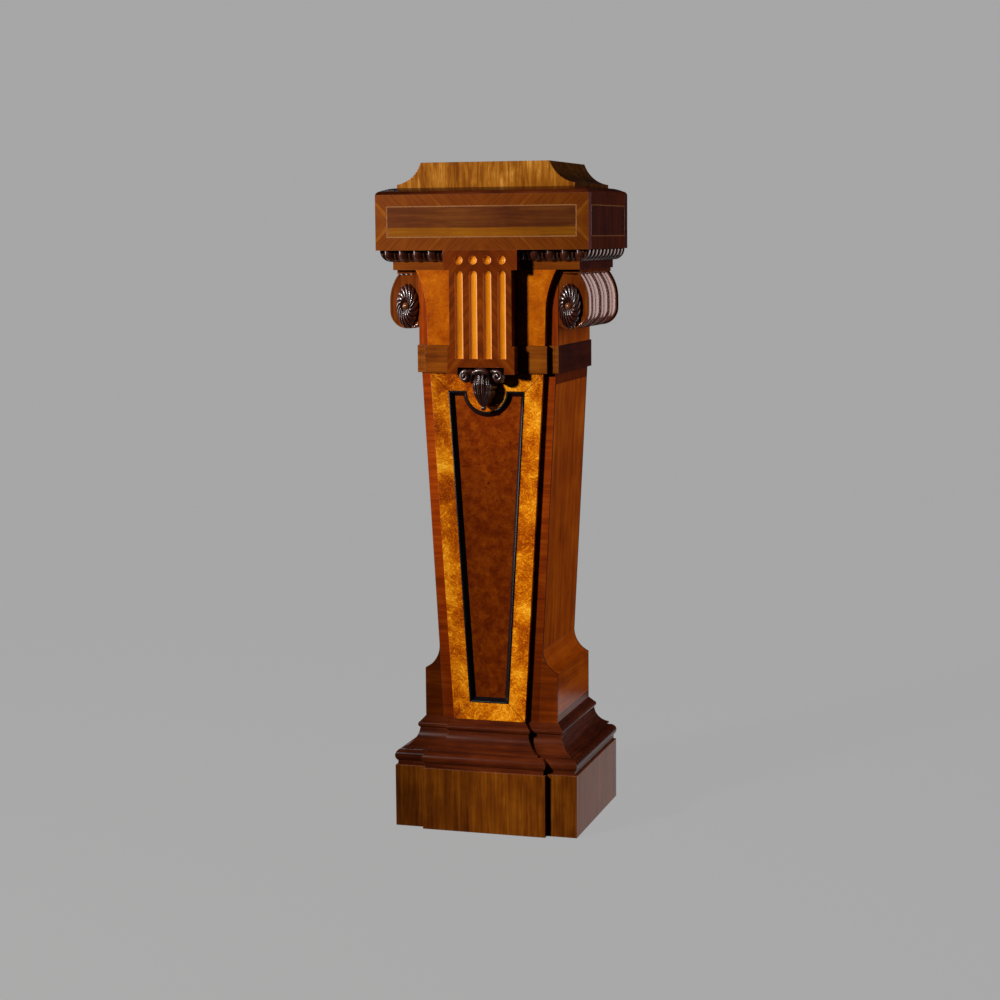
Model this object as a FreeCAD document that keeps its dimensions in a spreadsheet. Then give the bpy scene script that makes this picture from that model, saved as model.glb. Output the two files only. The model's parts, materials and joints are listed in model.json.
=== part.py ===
import FreeCAD, Part
import math
import os
import re
import Sketcher
from FreeCAD import Vector

# Pedestal column stand: a tapering veneered column on a moulded plinth, with a fluted
# capital block, side consoles and a wide frieze that carries a small stepped cap.
# Millimetres, +Z up, front towards -Y, origin under the middle of the stand on the floor.
# Lengths named front or back are distances from the origin to that face. The middle of
# the front stands forward of the rest by one step, from the plinth up to the collar.

DRIVING_SIZES = [
    # plinth
    ("plinth_half_width", 171.0, "middle to the side of the plinth"),
    ("plinth_front", 144.5, "recessed front face of the plinth"),
    ("plinth_back", 156.5, "back face of the plinth"),
    ("plinth_height", 113.0, "floor to the top of the plinth"),
    ("plinth_break_half", 115.5, "half width of the plinth's forward break"),
    ("step_out", 12.0, "how far the middle of the front stands forward"),
    ("board", 20.0, "thickness of the carcass boards"),
    ("glue_block", 30.0, "side of a corner glue block"),
    ("glue_block_height", 80.0, "height of a corner glue block"),
    # platform with its half-round edge
    ("platform_neck", 5.0, "plinth to the lowest line of the round edge"),
    ("platform_neck_inset", 4.0, "plinth face to the shadow gap's face"),
    ("platform_round", 12.5, "radius of the half-round edge"),
    ("round_inset", 12.0, "plinth face to the centre of the half-round edge"),
    # moulding round the foot
    ("cove_foot_reach", 32.0, "foot face to the outer edge of the cove"),
    ("cove_fillet", 2.5, "upright edge below the cove"),
    ("cove_neck_reach", 9.0, "foot face to the top of the cove"),
    ("cove_top", 176.0, "height of the top of the cove"),
    ("cove_radius", 38.0, "radius of the cove"),
    ("bead_reach", 8.5, "foot face to the bead's edges"),
    ("bead_low", 178.0, "height of the bead's lower edge"),
    ("bead_high", 189.5, "height of the bead's upper edge"),
    ("bead_radius", 6.5, "radius of the bead"),
    ("moulding_top_reach", 0.6, "foot face to the top edge of the moulding"),
    ("moulding_top", 198.5, "height of the top of the base moulding"),
    # column
    ("column_front", 102.0, "recessed front face of the column"),
    ("column_back", 124.5, "back face of the column"),
    ("foot_half_width", 125.0, "middle to the side of the foot block"),
    ("foot_top", 288.0, "height of the top edge of the foot block"),
    ("sweep_top", 330.0, "height where the sweep leaves the column"),
    ("sweep_radius", 46.0, "radius of the sweep above the foot"),
    ("waist_half_width", 97.5, "middle to the side of the column above the sweep"),
    ("shaft_half_width", 124.5, "middle to the side of the column under the collar"),
    # front frame and panel
    ("frame_half_low", 67.1, "half width of the front frame at the base moulding"),
    ("frame_half_high", 104.9, "half width of the front frame at the collar"),
    ("stile_width", 32.0, "width of the frame's upright members"),
    ("rail_width", 32.0, "width of the frame's cross members"),
    ("scoop_radius", 37.0, "radius of the half-round drop of the top rail"),
    ("panel_thickness", 4.0, "thickness of the sunk burr panel"),
    ("ebony_width", 10.0, "width of the black moulding on the panel"),
    ("ebony_bead", 3.0, "width of the black moulding at its crest"),
    ("ebony_proud", 1.0, "how far it stands above the frame"),
    # collar
    ("collar_low", 828.5, "height of the collar's lower edge"),
    ("collar_high", 877.5, "height of the collar's upper edge"),
    ("collar_half_width", 131.0, "middle to the side of the collar"),
    ("collar_front", 107.0, "recessed front face of the collar"),
    ("collar_back", 129.5, "back face of the collar"),
    ("collar_break_half", 113.0, "half width of the collar's forward break"),
    ("collar_break_front", 119.0, "front of the collar's break"),
    # neck behind the capital
    ("neck_half_width", 129.0, "middle to the side of the neck box"),
    ("flare_front", 116.0, "front of the flared burr panel"),
    ("flare_half_low", 108.5, "half width of the flared panel at the collar"),
    ("flare_start", 930.0, "height where the panel starts to flare"),
    ("flare_half_start", 110.0, "half width where the panel starts to flare"),
    ("flare_radius", 166.0, "radius of the flare"),
    ("flare_half_top", 130.0, "half width of the panel under the abacus"),
    # consoles
    ("console_reach", 184.0, "middle to the outermost line of a console"),
    ("console_round", 32.0, "radius of a console's lower corner"),
    ("console_low", 906.0, "height of the console's lowest line"),
    ("console_straight", 955.0, "height where the console starts to lean in"),
    ("console_lean_radius", 80.0, "radius of the console's upper curve"),
    ("wide_reed", 39.0, "width of a console's wide reeds with one groove"),
    ("narrow_reed", 23.5, "width of a console's narrow reeds with one groove"),
    ("reed_groove", 3.0, "width and depth of the grooves between the reeds"),
    ("console_top_reach", 167.5, "middle to the top of the console's curve"),
    ("console_fillet_reach", 169.5, "middle to the small fillet over a console"),
    ("console_fillet", 7.0, "height of the small fillet over a console"),
    ("console_root", 913.0, "height where the console leaves the neck"),
    ("console_hollow_end", 146.0, "middle to the outer end of the hollow underneath"),
    ("console_hollow_radius", 26.0, "radius of that hollow"),
    ("rosette_x", 150.5, "middle to the centre of a rosette"),
    ("rosette_z", 947.0, "height of a rosette's centre"),
    ("rosette_half_width", 21.0, "half width of a rosette"),
    ("rosette_half_height", 40.5, "half height of a rosette"),
    ("rosette_rise", 14.0, "rise of a rosette"),
    ("boss_radius", 7.0, "radius of a rosette's boss"),
    ("boss_sink", 2.0, "how far a boss's centre lies inside the front of its rosette"),
    # fluted block
    ("block_front", 148.5, "front of the fluted block"),
    ("block_half_width", 57.2, "half width of the fluted block"),
    ("block_head_half", 67.7, "half width of its head"),
    ("block_base_half", 61.7, "half width of its base"),
    ("flute_pitch", 26.2, "spacing of the flutes"),
    ("flute_radius", 7.7, "radius of a flute"),
    ("flute_axis_out", 1.2, "how far a flute's axis lies in front of the face"),
    ("flute_low", 855.5, "height of the flutes' square ends"),
    ("flute_high", 1010.5, "height of the flutes' round ends"),
    ("dot_radius", 7.9, "radius of the sunk dots"),
    ("dot_height", 1028.5, "height of the four sunk dots"),
    ("notch_half", 43.0, "half width of the housing for the carved drop"),
    ("notch_height", 12.0, "height of the housing for the carved drop"),
    # carved drop
    ("drop_front", 154.0, "front of the carved drop"),
    ("drop_tip_front", 126.0, "front of the drop's tip"),
    ("drop_low", 768.0, "height of the drop's tip"),
    ("drop_full_height", 812.0, "height from which the drop has its full depth"),
    ("drop_half_width", 21.0, "half width of the drop's body"),
    ("drop_tip_half", 5.0, "half width of the drop's tip"),
    ("drop_side_radius", 90.0, "radius of the drop's sides"),
    ("drop_bead", 5.0, "radius of the bead at the drop's tip"),
    ("scroll_radius", 11.5, "radius of its side scrolls"),
    ("scroll_x", 30.0, "middle to the centre of a side scroll"),
    ("scroll_z", 827.5, "height of the scrolls' centres"),
    ("scroll_front", 152.0, "front of a side scroll"),
    # abacus and egg moulding
    ("abacus_low", 1011.0, "height of the abacus's underside"),
    ("abacus_high", 1025.5, "height of the abacus's top"),
    ("abacus_half_width", 172.0, "middle to the side of the abacus"),
    ("abacus_back", 131.0, "back of the abacus"),
    ("ovolo_foot_reach", 2.0, "abacus face to the foot of the egg moulding"),
    ("ovolo_foot", 3.5, "height of the upright edge at its foot"),
    ("ovolo_reach", 18.0, "abacus face to the outer edge of the egg moulding"),
    ("ovolo_lip", 1.0, "height of the upright edge at its top"),
    ("ovolo_radius", 17.0, "radius of the egg moulding"),
    # frieze box
    ("frieze_low", 1046.0, "height of the frieze's lower edge"),
    ("frieze_high", 1143.5, "height of the frieze's upper edge"),
    ("frieze_half_width", 195.0, "middle to the side of the frieze"),
    ("frieze_front", 142.5, "front face of the frieze"),
    ("frieze_back", 150.0, "back face of the frieze"),
    ("frieze_block_height", 60.0, "height of the frieze's corner blocks"),
    ("border", 20.8, "width of the frieze's end borders"),
    ("border_low", 22.0, "width of the frieze's lower border"),
    ("border_high", 20.0, "width of the frieze's upper border"),
    ("string_width", 2.0, "width of the light stringing"),
    ("string_depth", 1.0, "depth of the light stringing"),
    # top board and cap
    ("nose_run", 6.5, "how far the top board's nose runs in"),
    ("nose_rise", 6.5, "height of the top board's nose"),
    ("nose_radius", 8.0, "radius of the nose"),
    ("lip_run", 28.0, "how far the top board's rounded edge runs in"),
    ("lip_run_back", 19.0, "the same along the back"),
    ("lip_radius", 60.0, "radius of the flatter part of that edge"),
    ("top_board_high", 1155.5, "height of the top board's upper face"),
    ("cap_fillet", 6.3, "upright edge at the foot of the cap"),
    ("cap_base_half", 163.5, "half width of the cap's foot"),
    ("cap_top_half", 118.5, "half width of the display surface"),
    ("cap_front", 114.0, "front face of the cap"),
    ("cap_back", 131.0, "back face of the cap"),
    ("cap_radius", 56.0, "radius of the cap's hollow ends"),
    ("total_height", 1200.0, "floor to the display surface"),
    # screws
    ("screw_radius", 2.5, "radius of a screw's shank"),
    ("screw_head_radius", 5.0, "radius of a countersunk head"),
    ("screw_head", 3.5, "height of a countersunk head"),
    ("screw_bite", 22.0, "how far a screw enters the board that it holds"),
    ("screw_clearance", 0.05, "room round a screw"),
    ("screw_inset", 38.0, "column face to the line of screws"),
    ("foot_screw_x", 75.5, "middle to the screws under the column"),
]
ALIASES = {alias for alias, number, note in DRIVING_SIZES}
FULL_TURN = 360.0
QUARTER_TURN = 90.0
FLUTES = 4
REED_PAIRS = 3
SIDES = (("left", -1), ("right", 1))
MITRE_REACH = "60"     # the mitred outlines in plan run this far past every moulding

COLUMN_LOW = "(plinth_height + platform_neck + 2 * platform_round)"
STEP_FRONT = "(column_front + step_out)"

doc = FreeCAD.newDocument("pedestal_stand")
sheet = doc.addObject("Spreadsheet::Sheet", "sizes")
for row, (alias, number, note) in enumerate(DRIVING_SIZES, start=1):
    sheet.set(f"A{row}", alias)
    sheet.set(f"B{row}", str(number))
    sheet.set(f"C{row}", note)
    sheet.setAlias(f"B{row}", alias)
doc.recompute()

nodes = []


def bind(text):
    """Put the sheet's name in front of every size in an expression."""
    def named(word):
        return "sizes." + word.group(0) if word.group(0) in ALIASES else word.group(0)
    return re.sub(r"[a-z]\w*", named, text)


def value(text):
    """The present number of an expression."""
    return float(sheet.evalExpression(bind(text)))


def keep(piece, name):
    """Count an object as a piece of the stand, under its own name."""
    piece.Label = name
    nodes.append(piece)
    return piece


# ------------------------------------------------------------------ blocks and booleans


def box(name, x_range, y_range, z_range):
    """A rectangular block between two planes in each direction."""
    block = doc.addObject("Part::Box", name)
    sides = (("Length", "x", x_range), ("Width", "y", y_range), ("Height", "z", z_range))
    for side, axis, (low, high) in sides:
        block.setExpression(side, bind(f"({high}) - ({low})"))
        block.setExpression(f"Placement.Base.{axis}", bind(low))
    return block


def place(piece, x, y, z):
    """Move an object's own origin to a point given by expressions."""
    for axis, text in (("x", x), ("y", y), ("z", z)):
        piece.setExpression(f"Placement.Base.{axis}", bind(text))
    return piece


def combine(kind, name, base, tool):
    """Part::Cut, Part::Fuse or Part::Common of two objects."""
    result = doc.addObject(f"Part::{kind}", name)
    result.Base = base
    result.Tool = tool
    return result


def group(name, pieces):
    """Several separate solids that are handled as one set."""
    result = doc.addObject("Part::Compound", name)
    result.Links = pieces
    return result


# ------------------------------------------------------------------ drawn pieces


def new_body(name):
    return doc.addObject("PartDesign::Body", name)


def origin_plane(body, role):
    return next(part for part in body.Origin.OriginFeatures if part.Role == role)


def arc_geometry(start, end, radius, bulges_left):
    """The arc from start to end that bulges to the left or right of its way."""
    along = end - start
    half = along.Length / 2
    rise = math.sqrt(max(radius ** 2 - half ** 2, 0.0))
    left = Vector(-along.y, along.x, 0).normalize()
    centre = start + along * 0.5 + left * (-rise if bulges_left else rise)
    first, last = (end, start) if bulges_left else (start, end)
    angles = [math.atan2(point.y - centre.y, point.x - centre.x) for point in (first, last)]
    if angles[1] < angles[0]:
        angles[1] += math.radians(FULL_TURN)
    return Part.ArcOfCircle(Part.Circle(centre, Vector(0, 0, 1), radius), angles[0], angles[1])


def sketch(body, name, role, outline, offset="0", shift="0"):
    """A closed outline on one of the body's own planes. A corner is (across, up), or
    (across, up, radius, side) where the edge that starts there is an arc which bulges to
    that side of its way. Expressions on the sheet hold every corner and radius. The offset
    is along the plane's normal, and the shift is across."""
    drawing = body.newObject("Sketcher::SketchObject", name)
    drawing.AttachmentSupport = [(origin_plane(body, role), "")]
    drawing.MapMode = "FlatFace"
    drawing.setExpression("AttachmentOffset.Base.z", bind(offset))
    drawing.setExpression("AttachmentOffset.Base.x", bind(shift))
    corners = [Vector(value(corner[0]), value(corner[1]), 0) for corner in outline]
    starts = []
    ends = []
    for index, corner in enumerate(outline):
        start = corners[index]
        end = corners[(index + 1) % len(corners)]
        if len(corner) == 2:
            edge = drawing.addGeometry(Part.LineSegment(start, end), False)
            starts.append((edge, 1))
            ends.append((edge, 2))
            continue
        bulges_left = corner[3] == "left"
        edge = drawing.addGeometry(arc_geometry(start, end, value(corner[2]), bulges_left), False)
        starts.append((edge, 2 if bulges_left else 1))
        ends.append((edge, 1 if bulges_left else 2))
        rule = drawing.addConstraint(Sketcher.Constraint("Radius", edge, value(corner[2])))
        drawing.setExpression(f"Constraints[{rule}]", bind(corner[2]))
    for index, corner in enumerate(outline):
        following = (index + 1) % len(outline)
        drawing.addConstraint(Sketcher.Constraint("Coincident", *ends[index], *starts[following]))
        for kind, text, number, axis in (("DistanceX", corner[0], corners[index].x, -2),
                                         ("DistanceY", corner[1], corners[index].y, -1)):
            if text == "0":
                drawing.addConstraint(Sketcher.Constraint("PointOnObject", *starts[index], axis))
                continue
            rule = drawing.addConstraint(Sketcher.Constraint(kind, -1, 1, *starts[index], number))
            drawing.setExpression(f"Constraints[{rule}]", bind(text))
    return drawing


def pad(body, drawing, length):
    feature = body.newObject("PartDesign::Pad", drawing.Name + "_pad")
    feature.Profile = drawing
    feature.setExpression("Length", bind(length))
    body.Tip = feature
    return feature


def groove(body, drawing):
    """Cut away a full turn of the drawing about its own upright axis."""
    feature = body.newObject("PartDesign::Groove", drawing.Name + "_groove")
    feature.Profile = drawing
    feature.ReferenceAxis = (drawing, ["V_Axis"])
    feature.Angle = FULL_TURN
    body.Tip = feature
    return feature


def plate(name, outline, front, back):
    """A plate outlined in the front view. Its faces are given along +Y."""
    body = new_body(name + "_plate")
    drawing = sketch(body, name + "_outline", "XZ_Plane", outline, f"-({back})")
    pad(body, drawing, f"({back}) - ({front})")
    return body


def slab(name, outline, low, high):
    """A slab outlined in plan, between two heights."""
    body = new_body(name + "_slab")
    drawing = sketch(body, name + "_plan", "XY_Plane", outline, low)
    pad(body, drawing, f"({high}) - ({low})")
    return body


def on_side(outline, side):
    """The outline of a right-hand piece, turned over for the left when side is -1."""
    if side > 0:
        return outline
    flipped = []
    for corner in outline:
        turned = (f"-({corner[0]})", corner[1])
        if len(corner) == 4:
            turned += (corner[2], "right" if corner[3] == "left" else "left")
        flipped.append(turned)
    return flipped


def section_between(low_face, low_profile, high_face, high_profile):
    """A closed section with a profile on each face. A profile is a list of (reach, height)
    corners going up, its arcs marked as in sketch()."""
    going_up = [(f"({high_face}) + ({corner[0]})",) + tuple(corner[1:])
                for corner in high_profile]
    going_down = []
    for index in range(len(low_profile) - 1, -1, -1):
        reach, height = low_profile[index][:2]
        corner = (f"-(({low_face}) + ({reach}))", height)
        if index > 0 and len(low_profile[index - 1]) == 4:
            corner += tuple(low_profile[index - 1][2:])
        going_down.append(corner)
    return going_up + going_down


def moulded_block(name, profile, half_width, front, back, back_profile=None):
    """A rectangular block with a profile worked round all four sides: the solid that two
    long sections, one through each pair of sides, have in common."""
    widest = f"({half_width}) + {MITRE_REACH}"
    across = new_body(name + "_across")
    section = sketch(across, name + "_side_section", "YZ_Plane",
                     section_between(front, profile, back, back_profile or profile),
                     f"-({widest})")
    pad(across, section, f"2 * ({widest})")
    along = plate(name + "_along", section_between(half_width, profile, half_width, profile),
                  f"-(({front}) + {MITRE_REACH})", f"({back}) + {MITRE_REACH}")
    return combine("Common", name, along, across)


def length_of(name, block, footprint, low, high):
    """One mitred length of a moulding: what a moulded block holds over a footprint."""
    return keep(combine("Common", name, block, slab(name, footprint, low, high)), name)


def mitred_corner(x_sign, half_width, y_sign, face):
    """The inner and outer ends of the mitre line at a corner, in plan."""
    inner = (f"{x_sign} * ({half_width})", f"{y_sign} * ({face})")
    outer = (f"{x_sign} * (({half_width}) + {MITRE_REACH})",
             f"{y_sign} * (({face}) + {MITRE_REACH})")
    return inner, outer


def side_footprint(side, half_width, front, back):
    """Plan of the length along one side, mitred at both ends."""
    front_inner, front_outer = mitred_corner(side, half_width, -1, front)
    back_inner, back_outer = mitred_corner(side, half_width, 1, back)
    return [front_inner, front_outer, back_outer, back_inner]


def back_footprint(half_width, back):
    """Plan of the length along the back, mitred at both ends."""
    left_inner, left_outer = mitred_corner(-1, half_width, 1, back)
    right_inner, right_outer = mitred_corner(1, half_width, 1, back)
    return [left_inner, left_outer, right_outer, right_inner]


# ------------------------------------------------------------------ screws


def screw_solid(name, x, y, head, point, grow):
    """A countersunk screw from its head's face to its point, larger all round by grow."""
    upward = value(point) > value(head)
    sign = "1" if upward else "-1"
    shank = doc.addObject("Part::Cylinder", name + "_shank")
    shank.setExpression("Radius", bind(f"screw_radius + {grow}"))
    shank.setExpression("Height", bind(f"abs(({point}) - ({head})) + {grow}"))
    cone = doc.addObject("Part::Cone", name + "_head")
    wide = bind(f"screw_head_radius + {grow}")
    slim = bind(f"screw_radius + {grow}")
    cone.setExpression("Radius1", wide if upward else slim)
    cone.setExpression("Radius2", slim if upward else wide)
    cone.setExpression("Height", bind("screw_head"))
    place(shank, x, y, f"{head}" if upward else f"({point}) - {grow}")
    place(cone, x, y, f"{head}" if upward else f"({head}) + ({sign}) * screw_head")
    return combine("Fuse", name, shank, cone)


def screw_places():
    """Name, x, y, head and point of the eight screws."""
    places = []
    front = "-(column_front - screw_inset)"
    back = "column_back - screw_inset"
    for side, sign in SIDES:
        for end, y in (("front", front), ("back", back)):
            places.append((f"foot_screw_{side}_{end}", f"{sign} * foot_screw_x", y,
                           "plinth_height", f"{COLUMN_LOW} + screw_bite"))
            places.append((f"head_screw_{side}_{end}",
                           f"{sign} * (neck_half_width - board / 2)", y,
                           "frieze_low", "abacus_low - screw_bite"))
    return places


SCREW_HOLES = {name: screw_solid(name + "_hole", x, y, head, point, "screw_clearance")
               for name, x, y, head, point in screw_places()}


def drilled(name, piece, screws):
    """The piece with the holes of the named screws."""
    holes = group(name + "_holes", [SCREW_HOLES[screw] for screw in screws])
    return keep(combine("Cut", name, piece, holes), name)


def screws_named(kind, sides=("left", "right")):
    return [f"{kind}_screw_{side}_{end}" for side in sides for end in ("front", "back")]


def wood_screws():
    """Four screws up into the column's sides and four down into the neck's sides."""
    solids = [screw_solid(name, x, y, head, point, "0")
              for name, x, y, head, point in screw_places()]
    keep(group("wood_screws", solids), "wood_screws")


# ------------------------------------------------------------------ plinth and base


def corner_blocks(name, half_width, front, back, low, high):
    """Four square blocks in the inner corners of a box of boards."""
    inner_x = f"({half_width}) - board"
    blocks = []
    for side, sign in SIDES:
        near = f"{sign} * ({inner_x}) - {'0' if sign < 0 else 'glue_block'}"
        for end, y_low in (("front", f"-(({front}) - board)"),
                           ("back", f"({back}) - board - glue_block")):
            blocks.append(box(f"{name}_{side}_{end}", (near, f"{near} + glue_block"),
                              (y_low, f"{y_low} + glue_block"), (low, high)))
    return keep(group(name, blocks), name)


def board_box(name, half_width, front, back, low, high, cutters):
    """Front and back boards of full width with side boards between them. Cutters maps the
    name of a board to what is let into its face."""
    outer = f"({half_width})"
    ranges = {
        "front": ((f"-{outer}", outer), (f"-({front})", f"-({front}) + board")),
        "back": ((f"-{outer}", outer), (f"({back}) - board", f"({back})")),
        "left": ((f"-{outer}", f"-{outer} + board"), (f"-({front}) + board", f"({back}) - board")),
        "right": ((f"{outer} - board", outer), (f"-({front}) + board", f"({back}) - board")),
    }
    for place_name, (x_range, y_range) in ranges.items():
        node = f"{name}_{place_name}"
        blank = box(node + "_board", x_range, y_range, (low, high))
        if place_name in cutters:
            blank = combine("Cut", node + "_rebated", blank, cutters[place_name])
        keep(blank, node)


def plinth():
    """A box of four boards, with a thinner board that carries the break of the front."""
    board_box("plinth", "plinth_half_width", "plinth_front", "plinth_back", "0",
              "plinth_height", {})
    keep(box("plinth_break", ("-plinth_break_half", "plinth_break_half"),
             ("-plinth_front - step_out", "-plinth_front"), ("0", "plinth_height")),
         "plinth_break")
    corner_blocks("plinth_glue_blocks", "plinth_half_width", "plinth_front", "plinth_back",
                  "plinth_height - glue_block_height", "plinth_height")


def base_platform():
    """The board on the plinth, its half-round edge breaking forward in the middle."""
    round_middle = "plinth_height + platform_neck + platform_round"
    neck_to_centre = "round_inset - platform_neck_inset"
    neck_top = f"{round_middle} - sqrt(platform_round^2 - ({neck_to_centre})^2)"
    profile = [
        ("-platform_neck_inset", "plinth_height"),
        ("-platform_neck_inset", neck_top, "platform_round", "right"),
        ("platform_round - round_inset", round_middle, "platform_round", "right"),
        ("-round_inset", COLUMN_LOW),
    ]
    main = moulded_block("platform_main", profile, "plinth_half_width", "plinth_front",
                         "plinth_back")
    middle = moulded_block("platform_middle", profile, "plinth_break_half",
                           "plinth_front + step_out", "0")
    whole = combine("Fuse", "platform_whole", main, middle)
    drilled("base_platform", whole, screws_named("foot"))


def base_mouldings():
    """Cove and bead round the foot in mitred lengths; the middle length breaks forward."""
    profile = [
        ("cove_foot_reach", COLUMN_LOW),
        ("cove_foot_reach", f"{COLUMN_LOW} + cove_fillet", "cove_radius", "left"),
        ("cove_neck_reach", "cove_top"),
        ("bead_reach", "bead_low", "bead_radius", "right"),
        ("bead_reach", "bead_high"),
        ("moulding_top_reach", "moulding_top"),
    ]
    main = moulded_block("base_moulding_main", profile, "foot_half_width", "column_front",
                         "column_back")
    middle = moulded_block("base_moulding_middle", profile, "frame_half_low", STEP_FRONT, "0")
    heights = (COLUMN_LOW, "moulding_top")
    for side, sign in SIDES:
        length_of(f"base_moulding_{side}", main,
                  side_footprint(sign, "foot_half_width", "column_front", "column_back"),
                  *heights)
        corner_inner, corner_outer = mitred_corner(sign, "foot_half_width", -1, "column_front")
        break_inner, break_outer = mitred_corner(sign, "frame_half_low", -1, "column_front")
        length_of(f"base_moulding_front_{side}", main,
                  [corner_inner, break_inner, break_outer, corner_outer], *heights)
    length_of("base_moulding_back", main, back_footprint("foot_half_width", "column_back"),
              *heights)
    outline = []
    for sign in (-1, 1):
        root_inner, root_outer = mitred_corner(sign, "frame_half_low", -1, "column_front")
        front_outer = mitred_corner(sign, "frame_half_low", -1, STEP_FRONT)[1]
        corners = [root_inner, root_outer, front_outer]
        outline += corners if sign < 0 else reversed(corners)
    length_of("base_moulding_break", middle, outline, *heights)


# ------------------------------------------------------------------ column


def frame_half(height):
    """Half width of the front frame at a height."""
    slope = "(frame_half_high - frame_half_low) / (collar_low - moulding_top)"
    return f"(frame_half_low + (({height}) - moulding_top) * {slope})"


def column_half(height):
    """Half width of the tapering column at a height, as if it had no foot."""
    slope = "(shaft_half_width - waist_half_width) / (collar_low - sweep_top)"
    return f"(waist_half_width + (({height}) - sweep_top) * {slope})"


def column():
    """Tapering side boards, seen from the front as bands beside the frame, the front and
    back boards between them, and swept foot blocks glued outside."""
    low = COLUMN_LOW
    side_board = [
        (frame_half(low), low),
        (column_half(low), low),
        ("shaft_half_width", "collar_low"),
        ("shaft_half_width", "collar_high"),
        ("frame_half_high", "collar_high"),
        ("frame_half_high", "collar_low"),
    ]
    foot = [
        (column_half(low), low),
        ("foot_half_width", low),
        ("foot_half_width", "foot_top", "sweep_radius", "left"),
        ("waist_half_width", "sweep_top"),
    ]
    for side, sign in SIDES:
        board = plate(f"shaft_{side}", on_side(side_board, sign), "-column_front", "column_back")
        drilled(f"shaft_{side}", board, screws_named("foot", (side,)))
        keep(plate(f"foot_{side}", on_side(foot, sign), "-column_front", "column_back"),
             f"foot_{side}")
    middle = [(f"-{frame_half(low)}", low), (frame_half(low), low),
              ("frame_half_high", "collar_low"), ("frame_half_high", "collar_high"),
              ("-frame_half_high", "collar_high"), ("-frame_half_high", "collar_low")]
    keep(plate("shaft_front", middle, "-column_front", "-column_front + board"), "shaft_front")
    keep(plate("shaft_back", middle, "column_back - board", "column_back"), "shaft_back")
    keep(box("shaft_top_board", ("-frame_half_high", "frame_half_high"),
             ("-column_front + board", "column_back - board"),
             ("collar_high - board", "collar_high")), "shaft_top_board")


OPENING_LOW = "(moulding_top + rail_width)"
OPENING_HIGH = "(collar_low - rail_width)"
OPENING_HALF_LOW = f"({frame_half(OPENING_LOW)} - stile_width)"
OPENING_HALF_HIGH = f"({frame_half(OPENING_HIGH)} - stile_width)"


def front_frame():
    """Burr stiles and rails with mitred corners. The top rail drops in a half round."""
    faces = (f"-{STEP_FRONT}", "-column_front")
    stile = [("frame_half_low", "moulding_top"), ("frame_half_high", "collar_low"),
             (OPENING_HALF_HIGH, OPENING_HIGH), (OPENING_HALF_LOW, OPENING_LOW)]
    for side, sign in SIDES:
        keep(plate(f"frame_stile_{side}", on_side(stile, sign), *faces), f"frame_stile_{side}")
    bottom = [("-frame_half_low", "moulding_top"), ("frame_half_low", "moulding_top"),
              (OPENING_HALF_LOW, OPENING_LOW), (f"-{OPENING_HALF_LOW}", OPENING_LOW)]
    keep(plate("frame_bottom_rail", bottom, *faces), "frame_bottom_rail")
    top = [("frame_half_high", "collar_low"), ("-frame_half_high", "collar_low"),
           (f"-{OPENING_HALF_HIGH}", OPENING_HIGH)] + scoop("0", 1)
    top.append((OPENING_HALF_HIGH, OPENING_HIGH))
    keep(plate("frame_top_rail", top, *faces), "frame_top_rail")


def scoop(inset, sign):
    """Corners of the half round, as far inside the frame's edge as inset says, going from
    left to right for sign 1 and back for -1."""
    radius = f"(scoop_radius + {inset})"
    level = f"({OPENING_HIGH} - {inset})"
    reach = f"sqrt({radius}^2 - ({inset})^2)"
    side = "right" if sign > 0 else "left"
    return [(f"{-sign} * {reach}", level, radius, side),
            ("0", f"{OPENING_HIGH} - {radius}", radius, side),
            (f"{sign} * {reach}", level)]


def ebony_outlines(width):
    """Outline of each length of the black moulding, as wide as it is at one depth."""
    low = f"({OPENING_LOW} + {width})"
    high = f"({OPENING_HIGH} - {width})"
    half_low = f"({OPENING_HALF_LOW} - {width})"
    half_high = f"({OPENING_HALF_HIGH} - {width})"
    upright = [(OPENING_HALF_LOW, OPENING_LOW), (OPENING_HALF_HIGH, OPENING_HIGH),
               (half_high, high), (half_low, low)]
    bottom = [(f"-{OPENING_HALF_LOW}", OPENING_LOW), (OPENING_HALF_LOW, OPENING_LOW),
              (half_low, low), (f"-{half_low}", low)]
    top = [(f"-{OPENING_HALF_HIGH}", OPENING_HIGH)] + scoop("0", 1)
    top += [(OPENING_HALF_HIGH, OPENING_HIGH), (half_high, high)]
    top += scoop(width, -1) + [(f"-{half_high}", high)]
    return {"left": on_side(upright, -1), "right": upright, "bottom": bottom, "top": top}


def sunk_panel():
    """The burr panel behind the frame's opening and the black moulding round it, which
    slopes from a narrow crest down to the panel."""
    panel = [(f"-{OPENING_HALF_LOW}", OPENING_LOW), (OPENING_HALF_LOW, OPENING_LOW),
             (OPENING_HALF_HIGH, OPENING_HIGH)] + scoop("0", -1)
    panel.append((f"-{OPENING_HALF_HIGH}", OPENING_HIGH))
    keep(plate("burr_panel", panel, "-column_front - panel_thickness", "-column_front"),
         "burr_panel")
    on_panel = ebony_outlines("ebony_width")
    at_crest = ebony_outlines("ebony_bead")
    for place_name, outline in on_panel.items():
        name = f"ebony_moulding_{place_name}"
        body = new_body(name + "_body")
        foot = sketch(body, name + "_foot", "XZ_Plane", outline,
                      "column_front + panel_thickness")
        crest = sketch(body, name + "_crest", "XZ_Plane", at_crest[place_name],
                       f"{STEP_FRONT} + ebony_proud")
        loft = body.newObject("PartDesign::AdditiveLoft", name + "_loft")
        loft.Profile = foot
        loft.Sections = [crest]
        loft.Ruled = True
        body.Tip = loft
        keep(body, name)


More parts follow.
